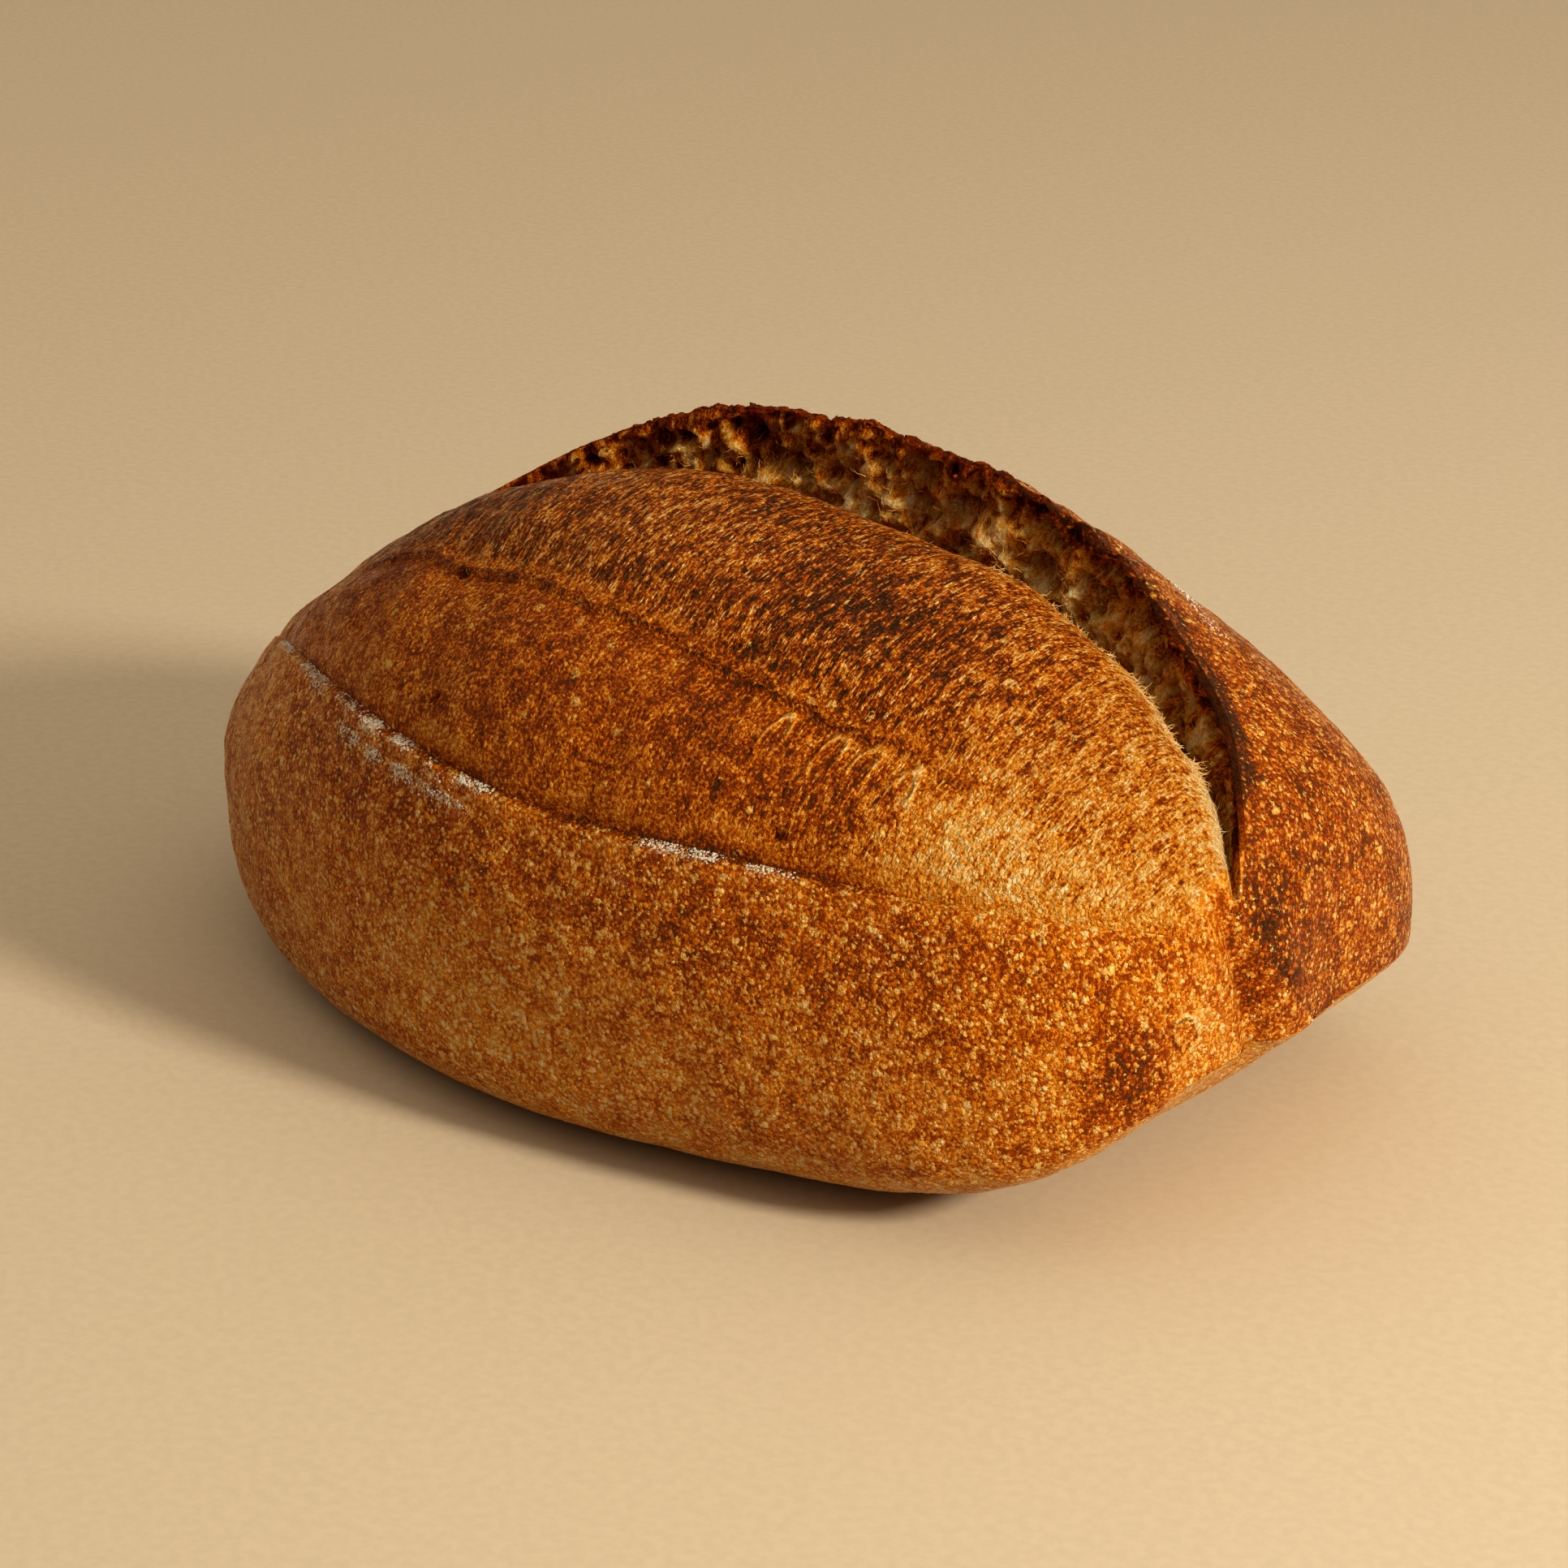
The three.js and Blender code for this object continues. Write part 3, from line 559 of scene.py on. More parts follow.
# Painted shade: a thin dark line along the lip where its ledge casts a shadow, as reach, stretch along x and
# amount
LIP_SHADE_REACH, LIP_SHADE_STRETCH, LIP_SHADE_DARKER = 0.7 * MM, (-0.1, 0.25, 0.9, 0.95), 0.03
# Painted shade: a thin dark line in the crack of the second tear, on both its sides and broken in places
CRACK_SHADE_REACH, LOW_CRACK_SHADE, HIGH_CRACK_SHADE = 0.6 * MM, 0.26, 0.14
CRACK_SHADE_BREAKS, CRACK_SHADE_SHOWN, CRACK_SHADE_VARIES, CRACK_SHADE_SEED = 3 * MM, 0.6, 0.4, 5.5
PALE_EDGE, PALE_EDGE_FADE, PALE_EDGE_RIGHT = 19 * MM, 3.5 * MM, (0.1, 0.5)   # of the bloom, in the crevice
# Painted shade along the groove of the tuck at the right tip
SEAM_SHADE = 0.06
SLASH_LEFT, SLASH_RIGHT = (-0.86, -0.72), (0.925, 0.965)   # places over which the slash fades out

# Char along the rim: how far it runs down on either side, and where it has turned to gold further down
CHAR_REACH, CHAR_WIDENS, CHAR_STRETCH = (2.4 * MM, 4.4 * MM), (0.3, 0.7), (-0.65, -0.4, 0.88, 0.955)
CHAR_ON_RIM, CHAR_ON_WALL, CHAR_ON_BACK = (0.68, 0.90), (0.11, 0.30), 0.2
RIM_CHARS, WALL_CHARS = (0.1, 0.45), (0.05, 0.4)    # x over which the first amount turns into the second
CHAR_FADES_ON_WALL, CHAR_FADES_ON_BACK = (0.6, 1.7), (0.8, 1.3)    # in reaches of the char
WALL_BROWN, WALL_BROWN_FADES = (0.48, 0.38), (3 * MM, 9 * MM)      # below the rim
WALL_GOLD, WALL_GOLD_STARTS = 0.25, (9 * MM, 14 * MM)
GOLD_DEPTH, GOLD_ENDS = (0.2, 0.6), (0.5, 0.75)     # how deep the slash is and the x where gold shows
# Painted light on the tips of the wall's crags per millimetre of their height, painted shade in its holes,
# then the rim's uneven char
CRAG_TIP_LIGHT, HOLE_SHADE, RIM_UNEVEN = 0.065, 0.22, 0.06
WALL_WAVER, BACK_WAVER = (4 * MM, 4 * MM, 3.0 * MM, 1.5), (3.4 * MM, 3 * MM, 1.6 * MM, 2.5)


def patches(p, darker, paler):
    total = 0
    for sign, several in ((1, darker), (-1, paler)):
        for place, along, across, amount in several:
            total = total + sign * amount * near(p, place, along, across)
    return total


def opened_share(x):
    return smooth(*SLASH_LEFT, x) * (1 - smooth(*SLASH_RIGHT, x))


def bell(distance, middle, width):
    """1 in the middle of a band, falling smoothly to 0 on both sides."""
    return np.exp(-((distance - middle) / width) ** 2)


def lip_shade_line(distance, x):
    """1 on the painted shadow line along the lip's ledge, falling to 0 within about a millimetre."""
    return np.exp(-distance / LIP_SHADE_REACH) * within(x, LIP_SHADE_STRETCH)


def wavered(skin, distance, waver):
    """A distance from the rim that wanders along the loaf."""
    along, down, amount, seed = waver
    return distance + amount * noise(skin.position[..., 0] / along, distance / down, seed)


def char_share(skin, distance, fades):
    """1 next to the rim and 0 beyond the reach of the char, which is greater towards the right tip."""
    reach = mix(*CHAR_REACH, smooth(*CHAR_WIDENS, skin.x))
    return 1 - smooth(fades[0] * reach, fades[1] * reach, distance)


def wall_level(skin, deep):
    """Char at the rim, then brown, down to golden crumb where the heat hardly reached, with painted light on
    the tips of the crags and painted shade in the holes.
    """
    down, x = wavered(skin, skin.after, WALL_WAVER), skin.x
    brown = mix(*WALL_BROWN, smooth(*WALL_BROWN_FADES, down))
    reached = smooth(*GOLD_DEPTH, deep) * (1 - smooth(*GOLD_ENDS, x))
    golden = mix(brown, WALL_GOLD, smooth(*WALL_GOLD_STARTS, down) * reached)
    char = mix(*CHAR_ON_WALL, smooth(*WALL_CHARS, x)) * char_share(skin, down, CHAR_FADES_ON_WALL)
    holes = burst_holes(skin, BURST_HOLES + BUBBLES)[1]
    return golden - CRAG_TIP_LIGHT * torn_crags(skin) / MM + char + HOLE_SHADE * holes


def bloom_levels(skin, uneven, deep, tear):
    """Levels of the bloom below and above the second tear."""
    p, before, after, x = skin.position, skin.before, skin.after, skin.x
    # Painted shade in the crack of the second tear, broken in places
    broken = CRACK_SHADE_SHOWN + CRACK_SHADE_VARIES * noise(p[..., 0] / CRACK_SHADE_BREAKS, 0.5, CRACK_SHADE_SEED)
    crack_shade = tear * broken * np.exp(-np.minimum(before, after) / CRACK_SHADE_REACH)
    bloom = BLOOM_BAKE + uneven + patches(p, DARK_BLOOM, PALE_BLOOM_AND_HIGHLIGHT)
    bloom = bloom - RIGHT_BLOOM_PALER * smooth(*RIGHT_BLOOM, x)
    lower = (bloom - LOW_BLOOM_PALER - OVER_LIP_PALER * bell(before, *OVER_LIP) + LOW_CRACK_SHADE * crack_shade
             + LIP_SHADE_DARKER * lip_shade_line(before, x))
    upper = bloom + HIGH_CRACK_SHADE * crack_shade - TEAR_BORDER_PALER * tear * bell(before, *TEAR_BORDER)
    edge = np.exp(-np.maximum(after - PALE_EDGE * deep, 0) / PALE_EDGE_FADE) * smooth(*PALE_EDGE_RIGHT, x)
    return lower, mix(upper, EDGE_BAKE, np.clip(edge, 0, 1))


def bake_levels(skin, facing):
    """Levels for every point, given the skin's final outward directions."""
    p, before, after, x = skin.position, skin.before, skin.after, skin.x
    deep, _, tear = slash_strength(x)
    medium = lump((MIDDLING_PATCHES[0], 1), p)
    uneven = lump(BROAD_PATCHES, p) + MIDDLING_PATCHES[1] * medium
    crust = CRUST_BAKE + uneven + patches(p, DARK_CRUST, PALE_CRUST)
    under_lip = bell(after, *UNDER_LIP) * within(x, UNDER_LIP_STRETCH)
    lower_bloom, upper_bloom = bloom_levels(skin, uneven, deep, tear)
    charred = within(x, CHAR_STRETCH)
    char_behind = charred * char_share(skin, wavered(skin, before, BACK_WAVER), CHAR_FADES_ON_BACK)
    total = by_strip(skin, {
        # the crust below the lip carries the painted shadow line of the lip's ledge
        "front": crust + UNDER_LIP_DARKER * under_lip + LIP_SHADE_DARKER * lip_shade_line(after, x),
        "lower_bloom": lower_bloom,
        "upper_bloom": upper_bloom,
        "wall": wall_level(skin, deep),
        "rim": mix(RIM_BAKE, mix(*CHAR_ON_RIM, smooth(*RIM_CHARS, x)), charred) + RIM_UNEVEN * medium,
        "back": crust + BACK_DARKER * smooth(*BACK_FULL, x) + CHAR_ON_BACK * char_behind,
    })
    total = mix(crust, total, np.where(skin.on("front", "back"), 1, opened_share(x)))
    # painted shade inside the pits
    for pit in PITS:
        total = total + PIT_SHADE * near(p, pit, PIT_RADIUS, PIT_RADIUS)
    total = total + SEAM_SHADE * seam_shade_line(p, x)
    underside = 1 - smooth(*UNDERSIDE_FACING, facing[..., 2] + UNDERSIDE_RAGGED * medium)
    total = mix(total, UNDERSIDE_BAKE + UNDERSIDE_UNEVEN * uneven, underside)
    return np.clip(total, 0, 1)


# ---- Where flour has stayed ----------------------------------------------------------------------
# Single strokes: place, length, width, amount.
FLOUR_STROKES = (((0.20, 155.4), 5 * MM, 1.2 * MM, 0.3), ((0.228, 162.5), 4 * MM, 1.3 * MM, 0.5),
                 ((0.62, 157), 3.5 * MM, 1.2 * MM, 0.4), ((0.779, 149.2), 3.5 * MM, 1.2 * MM, 0.36))
# Broken lines along the lip: stretch along x, distance below the lip, width, amount.
FLOUR_LINES = (((-0.62, -0.5, -0.06, 0.02), 1.9 * MM, 2.0 * MM, 0.62),
               ((-0.44, -0.37, -0.1, -0.02), 7 * MM, 2.2 * MM, 0.60),
               ((0.2, 0.28, 0.45, 0.55), 1.4 * MM, 1.5 * MM, 0.62),
               ((-0.85, -0.75, -0.6, -0.5), 1.2 * MM, 1.5 * MM, 0.50))
LINE_GAPS, LINE_COVER, LINE_VARIES, LINE_SEED = (3 * MM, 2 * MM), 0.72, 0.7, 8.5
BACK_FLOUR, BACK_STRIPE_GAP = (0.42, 0.52, 0.64, 0.78), 3.0 * MM    # x from its start to its end
BACK_FLOUR_REACH = (5 * MM, 9 * MM, 24 * MM, 34 * MM)               # the same in distance behind the rim
STRIPE_MIDDLE, STRIPE_SWING = 0.13, 0.21
STRIPE_WANDER, STRIPE_SHIFT, STRIPE_SEED = 15 * MM, 3, 4.5       # the shift is in radians of its wave
FRONT_DUST, BACK_DUST, UNDERSIDE_DUST, DUSTED_FACING = 0.06, 0.08, 0.3, (-0.9, -0.5)
STROKES_ELSEWHERE = 0.5


def flour_levels(skin, facing):
    """How much flour lies on every point, from none at 0 to a full cover at 1."""
    p, before, x = skin.position, skin.before, skin.x
    strokes = sum(amount * near(p, place, along, across) for place, along, across, amount in FLOUR_STROKES)
    along, down = LINE_GAPS
    gaps = noise(p[..., 0] / along, skin.after / down, LINE_SEED)
    cover = np.clip(LINE_COVER + LINE_VARIES * gaps, 0, 1)
    lines = sum(amount * within(x, stretch) * bell(skin.after, below, width)
                for stretch, below, width, amount in FLOUR_LINES)
    wander = STRIPE_SHIFT * noise(p[..., 0] / STRIPE_WANDER, 0.5, STRIPE_SEED)
    waves = np.cos(2 * np.pi * before / BACK_STRIPE_GAP + wander)
    behind = within(x, BACK_FLOUR) * within(before, BACK_FLOUR_REACH)
    total = by_strip(skin, {
        "front": strokes + cover * lines + FRONT_DUST,
        "back": BACK_DUST + behind * (STRIPE_MIDDLE + STRIPE_SWING * waves),
    }, STROKES_ELSEWHERE * strokes)
    return np.clip(total + UNDERSIDE_DUST * (1 - smooth(*DUSTED_FACING, facing[..., 2])), 0, 1)


# ---- Meshes --------------------------------------------------------------------------------------

def mesh_piece(name, points, faces, face_material=None, attributes=(), uv=None, smoothed=True):
    """A piece that rides on the loaf's body. Attributes are (name, one number for each point)."""
    mesh = bpy.data.meshes.new(name)
    mesh.from_pydata(points.tolist(), [], faces)
    for label, values in attributes:
        numbers = mesh.attributes.new(label, "FLOAT", "POINT").data
        numbers.foreach_set("value", values.astype(np.float32).ravel())
    if uv is not None:
        mesh.uv_layers.new(name="OFBake").data.foreach_set("uv", uv.astype(np.float32).ravel())
    if face_material is not None:
        mesh.polygons.foreach_set("material_index", face_material)
    mesh.polygons.foreach_set("use_smooth", [smoothed] * len(mesh.polygons))
    mesh.update()
    piece = bpy.data.objects.new(name, mesh)
    bpy.context.scene.collection.objects.link(piece)
    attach(piece, "root")
    return piece


def grid_faces(rings, points):
    """Quads between closed rings and a fan at either end, with their places in a square bake map."""
    i, j = np.meshgrid(np.arange(rings - 1), np.arange(points), indexing="ij")
    ahead = (j + 1) % points
    quads = np.stack([i * points + j, (i + 1) * points + j, (i + 1) * points + ahead, i * points + ahead], -1)
    u, v = (i + 1) / (rings + 1), j / points
    step_u, step_v = 1 / (rings + 1), 1 / points
    quad_uv = np.stack([np.stack([u, v], -1), np.stack([u + step_u, v], -1),
                        np.stack([u + step_u, v + step_v], -1), np.stack([u, v + step_v], -1)], 2)
    j = np.arange(points)
    ahead, last = (j + 1) % points, (rings - 1) * points
    left = np.stack([np.full(points, rings * points), j, ahead], -1)
    right = np.stack([np.full(points, rings * points + 1), last + ahead, last + j], -1)

    def fan_uv(tip, rim, first, second):
        return np.stack([np.stack([np.full(points, tip), (j + 0.5) / points], -1),
                         np.stack([np.full(points, rim), (j + first) / points], -1),
                         np.stack([np.full(points, rim), (j + second) / points], -1)], 1)

    faces = quads.reshape(-1, 4).tolist() + left.tolist() + right.tolist()
    uv = np.concatenate([quad_uv.reshape(-1, 2), fan_uv(0, step_u, 0, 1).reshape(-1, 2),
                         fan_uv(1, 1 - step_u, 1, 0).reshape(-1, 2)])
    return faces, uv


SKIN_MATERIALS = {"front": 0, "lower_bloom": 1, "upper_bloom": 1, "wall": 2, "rim": 3, "back": 0}

# How strongly strands and foam show, by place
PULLED_LESS_RIGHT, PULLED_RIGHT, PULLED_BORDER = 0.3, (0.42, 0.85), (1 * MM, 6 * MM)
LOW_PULLED_SHARE, LOW_PULLED_RIGHT, LOW_PULLED_START = (0.3, 0.7), (0.2, 0.7), 6 * MM
FOAM_RIGHT, FOAM_EDGE, FOAM_EDGE_RIGHT = 0.5, 0.6, (0, 0.5)
FOAM_EDGE_AT, FOAM_EDGE_FADE, FOAM_TEAR_FADE = 20 * MM, 7 * MM, 4 * MM


def texture_shares(skin):
    """How strongly pulled strands show, and how much the skin foams into small open cells."""
    x, before, after = skin.x, skin.before, skin.after
    right, tear = smooth(*PULLED_RIGHT, x), slash_strength(x)[2]
    past_tear = mix(1, smooth(*PULLED_BORDER, before), tear)
    low_pulled = mix(*LOW_PULLED_SHARE, smooth(*LOW_PULLED_RIGHT, x)) * smooth(0, LOW_PULLED_START, before)
    pulled = by_strip(skin, {"upper_bloom": (1 - PULLED_LESS_RIGHT * right) * past_tear,
                             "lower_bloom": low_pulled, "wall": 1})
    near_edge = np.exp(-np.maximum(after - FOAM_EDGE_AT, 0) / FOAM_EDGE_FADE) * smooth(*FOAM_EDGE_RIGHT, x)
    along_tear = tear * np.exp(-before / FOAM_TEAR_FADE)
    high_foam = np.maximum(np.maximum(FOAM_RIGHT * right, FOAM_EDGE * near_edge), along_tear)
    foam = by_strip(skin, {"upper_bloom": high_foam, "lower_bloom": FOAM_RIGHT * right})
    return pulled * opened_share(x), foam


def make_loaf(skin, points, levels, flour, shift):
    """The whole skin as one closed piece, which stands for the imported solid."""
    count = sum(STRIPS.values())
    tips = np.stack([points[0].mean(0), points[-1].mean(0)])
    tips[:, 0] = -LENGTH / 2, LENGTH / 2
    faces, uv = grid_faces(RINGS, count)

    def with_tips(values):
        return np.concatenate([values.ravel(), values[0].mean(keepdims=True), values[-1].mean(keepdims=True)])

    strip_material = np.array([SKIN_MATERIALS[name] for name in skin.strip])
    open_ring = opened_share(skin.x[:-1]) > 0.5
    face_material = np.concatenate([(open_ring * strip_material).ravel(), np.zeros(2 * count, int)])
    pulled, foam = texture_shares(skin)
    spread_out = {"bake": levels, "flour": flour, "pulled": pulled, "foam": foam,
                  "along": skin.position[..., 0], "across": skin.round}
    every = np.concatenate([points.reshape(-1, 3), tips]) + shift
    loaf = mesh_piece("loaf_skin", every, faces, face_material,
                      [(label, with_tips(values)) for label, values in spread_out.items()], uv)
    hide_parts("loaf")
    return loaf


# ---- Small things scattered over the skin --------------------------------------------------------
# Each kind: seed, number of pieces, least half width in mm, how much wider the widest is and how rare it is
BLISTERS, BLOOM_BLISTERS = (11, 3600, 0.26, 0.42, 3), (12, 700, 0.2, 0.32, 3)
GRAINS, FLAKES = (13, 2200, 0.1, 0.28, 3), (14, 420, 0.25, 0.65, 2.5)
BLISTER_SHAPE, BLISTER_JITTER = (8, 3), 0.16    # turns and levels of the unit ball, unevenness
GRAIN_SHAPE, GRAIN_JITTER = (5, 2), 0.2
FLAKE_SHAPE, FLAKE_JITTER = (6, 3), 0.3

# Crust blisters: where they lie, length and height in half widths, how much paler they are
BLISTER_ABOVE, BLISTER_CLUSTER, CLUSTER_MIDDLE, CLUSTER_RANGE = (4 * MM, 16 * MM), 16 * MM, 0.6, (0.05, 2)
BLISTERS_AT_LIP, BLISTERS_BELOW_LIP = 0.4, 25 * MM
BLISTERS_ON_BACK, BLISTERS_BEHIND_RIM = 0.6, (3 * MM, 10 * MM)
BLISTER_LONG, BLISTER_TALL, BLISTER_PALER, BLISTER_PALEST = (0.9, 1.7), 0.18, (0.04, 0.26), 0.12

# Bloom blisters, in the same order
BEADS_LOW, BEADS_LOW_MORE, BEADS_RIGHT = 0.3, 2, (0.45, 0.75)
BEADS_HIGH, BEADS_OUT_OF_CREVICE, BEADS_FROM = 0.5, 24 * MM, -0.6
BEAD_LONG, BEAD_TALL, BEAD_TURN, BEAD_PALER, BEAD_PALEST = (1.3, 2.6), 0.3, 0.4, 0.18, 0.10

# Flour clots and charred flakes: sizes in half widths, how far they are baked
GRAIN_ABOVE, GRAIN_LEAST_FLOUR, GRAIN_GATHER = (12 * MM, 30 * MM), 0.3, 1.5
GRAIN_SIZES, GRAIN_BAKE = (1.3, 1, 0.6), (0.0, 0.1)
FLAKES_ON_WALL, FLAKES_BELOW_RIM = 0.25, 4 * MM
FLAKE_SIZES, FLAKE_BAKE = (1.5, 0.8, 0.4), (0.66, 0.92)

STRAND_SEED, STRAND_COUNT, STRAND_TURNS, STRAND_STEPS = 15, 3600, 4, 6
STRAND_LONG, STRAND_THICK = (0.6, 2.8), (0.04, 0.10)      # in mm
STRAND_TAPER, STRAND_END = 1.7, 0.1             # how late a fibre thins out, and to what share
STRAND_BEND, STRAND_WAVE, STRAND_WAVES, BEND_IN_WIDTHS = 0.9, 0.22, 6, 16
STRAND_LEAN, STRAND_SWING = 0.9, 1.3
FRINGE_AT, FRINGE_WIDTH, FRINGE_STRETCH = 20 * MM, 2.6 * MM, (0.0, 0.5, 0.88, 0.93)
TUFT_SIZE, TUFT_MIDDLE, TUFT_SWING, TUFT_LEAST, TUFT_SEED = (4.5 * MM, 4 * MM), 0.3, 1.7, 0.1, 2.5
WEBS_ON_WALL, WEBS_BELOW_RIM = 0.12, (6 * MM, 12 * MM)
WALL_STRAND_BAKE, FRINGE_BAKE, STRAND_ROOT = (0.12, 0.5), (0.03, 0.24), 0.3


def scattered(rng, points, weight, count):
    """Random spots on the skin by weight: places, frames (along, round, outward) and grid indices."""
    along = points[1:, :-1] - points[:-1, :-1]
    around = points[:-1, 1:] - points[:-1, :-1]
    normal = np.cross(along, around)
    area = np.linalg.norm(normal, axis=2)
    chance = (area * weight[:-1, :-1]).ravel()
    chosen = rng.choice(chance.size, count, p=chance / chance.sum())
    i, j = np.unravel_index(chosen, area.shape)
    s, t = rng.random((2, count, 1))
    place = points[i, j] + s * along[i, j] + t * around[i, j]
    out = normal[i, j] / np.maximum(area[i, j][:, None], 1e-12)
    first = along[i, j] / np.linalg.norm(along[i, j], axis=1, keepdims=True)
    return place, np.stack([first, np.cross(out, first), out], 1), (i, j)


def turned(rng, frames, spread=np.pi):
    """Frames turned about their outward axis by a random angle."""
    angle = rng.uniform(-spread, spread, len(frames))
    cos, sin = np.cos(angle)[:, None], np.sin(angle)[:, None]
    first = cos * frames[:, 0] + sin * frames[:, 1]
    return np.stack([first, np.cross(frames[:, 2], first), frames[:, 2]], 1)


def ball(turns, levels):
    """A unit ball of few faces, and its faces."""
    rows = np.pi * (np.arange(levels) + 1) / (levels + 1)
    around = 2 * np.pi * np.arange(turns) / turns
    ring = np.stack([np.outer(np.sin(rows), np.cos(around)), np.outer(np.sin(rows), np.sin(around)),
                     np.outer(np.cos(rows), np.ones(turns))], -1).reshape(-1, 3)
    points = np.concatenate([ring, [[0, 0, 1], [0, 0, -1]]])
    top, bottom = len(ring), len(ring) + 1
    faces = []
    for k in range(turns):
        ahead = (k + 1) % turns
        faces.append((top, k, ahead))
        faces.extend((row * turns + k, (row + 1) * turns + k, (row + 1) * turns + ahead, row * turns + ahead)
                     for row in range(levels - 1))
        faces.append(((levels - 1) * turns + k, bottom, (levels - 1) * turns + ahead))
    return points, faces


def copies(name, unit, places, frames, sizes, levels, flour=0.0, jitter=0.0, rng=None):
    """One joined piece of many copies of a unit shape, each with its own place, frame and sizes."""
    shape, faces = unit
    shape = np.broadcast_to(shape, (len(places), *np.shape(shape)[-2:]))
    if jitter:
        shape = shape * (1 + jitter * rng.uniform(-1, 1, shape.shape[:2] + (1,)))
    points = places[:, None] + np.einsum("cpk,ckd->cpd", shape * sizes[:, None], frames)
    first = np.arange(len(places)) * shape.shape[1]
    joined = [tuple(base + k for k in face) for base in first.tolist() for face in faces]
    points[..., 2] = np.maximum(points[..., 2], 0)
    every = np.ones(shape.shape[:2])
    return mesh_piece(name, points.reshape(-1, 3), joined,
                      attributes=(("bake", every * levels[:, None]), ("flour", every * flour)))


def half_widths(rng, kind):
    """Half widths of scattered pieces, most of them small."""
    _, count, least, more, rare = kind
    return MM * (least + more * rng.random(count) ** rare)


def make_blisters(skin, points, levels, shift):
    """Small hollow blisters on the baked crust, pale on their thin tops."""
    seed, count, *_ = BLISTERS
    rng = np.random.default_rng(seed)
    cluster = np.clip(CLUSTER_MIDDLE + lump((BLISTER_CLUSTER, 1), skin.position), *CLUSTER_RANGE)
    share = by_strip(skin, {"front": mix(BLISTERS_AT_LIP, 1, smooth(0, BLISTERS_BELOW_LIP, skin.after)),
                            "back": BLISTERS_ON_BACK * smooth(*BLISTERS_BEHIND_RIM, skin.before)})
    weight = smooth(*BLISTER_ABOVE, points[..., 2]) * cluster * share
    place, frames, at = scattered(rng, points, weight, count)
    wide = half_widths(rng, BLISTERS)
    sizes = np.stack([wide * rng.uniform(*BLISTER_LONG, count), wide, wide * BLISTER_TALL], 1)
    tone = levels[at] - BLISTER_PALER[0] - BLISTER_PALER[1] * rng.random(count) ** 2
    return copies("crust_blisters", ball(*BLISTER_SHAPE), place + shift, turned(rng, frames), sizes,
                  np.clip(tone, BLISTER_PALEST, 1), jitter=BLISTER_JITTER, rng=rng)


def make_bloom_blisters(skin, points, levels, shift):
    """Thin pale blisters and pulled beads where the dough opened, longer across the opening."""
    seed, count, *_ = BLOOM_BLISTERS
    rng = np.random.default_rng(seed)
    x = np.broadcast_to(skin.x, skin.round.shape)
    high = (skin.after > BEADS_OUT_OF_CREVICE) * (x > BEADS_FROM)
    weight = by_strip(skin, {"lower_bloom": BEADS_LOW + BEADS_LOW_MORE * smooth(*BEADS_RIGHT, x),
                             "upper_bloom": BEADS_HIGH * high})
    place, frames, at = scattered(rng, points, weight, count)
    wide = half_widths(rng, BLOOM_BLISTERS)
    sizes = np.stack([wide, wide * rng.uniform(*BEAD_LONG, count), wide * BEAD_TALL], 1)
    tone = levels[at] - rng.uniform(0.0, BEAD_PALER, count)
    return copies("bloom_blisters", ball(*BLISTER_SHAPE), place + shift, turned(rng, frames, BEAD_TURN),
                  sizes, np.clip(tone, BEAD_PALEST, 1), jitter=BLISTER_JITTER, rng=rng)


def make_flour_grains(points, flour, shift):
    """Clots of flour that stayed in the lee of the lip and on the shoulder behind the ear."""
    seed, count, *_ = GRAINS
    rng = np.random.default_rng(seed)
    gathered = np.clip(flour - GRAIN_LEAST_FLOUR, 0, 1) ** GRAIN_GATHER
    weight = gathered * smooth(*GRAIN_ABOVE, points[..., 2])
    place, frames, _ = scattered(rng, points, weight, count)
    wide = half_widths(rng, GRAINS)
    sizes = np.outer(wide, GRAIN_SIZES)
    return copies("flour_grains", ball(*GRAIN_SHAPE), place + shift, turned(rng, frames), sizes,
                  rng.uniform(*GRAIN_BAKE, count), flour=1.0, jitter=GRAIN_JITTER, rng=rng)


def make_rim_flakes(skin, points, shift):
    """Charred flakes and crumbs along the rim of the ear."""
    seed, count, *_ = FLAKES
    rng = np.random.default_rng(seed)
    _, ear, _ = slash_strength(skin.x)
    weight = ear * by_strip(skin, {"rim": 1.0, "wall": FLAKES_ON_WALL * (skin.after < FLAKES_BELOW_RIM)})
    place, frames, _ = scattered(rng, points, weight, count)
    wide = half_widths(rng, FLAKES)
    sizes = np.outer(wide, FLAKE_SIZES)
    return copies("rim_flakes", ball(*FLAKE_SHAPE), place + shift, turned(rng, frames), sizes,
                  rng.uniform(*FLAKE_BAKE, count), jitter=FLAKE_JITTER, rng=rng)


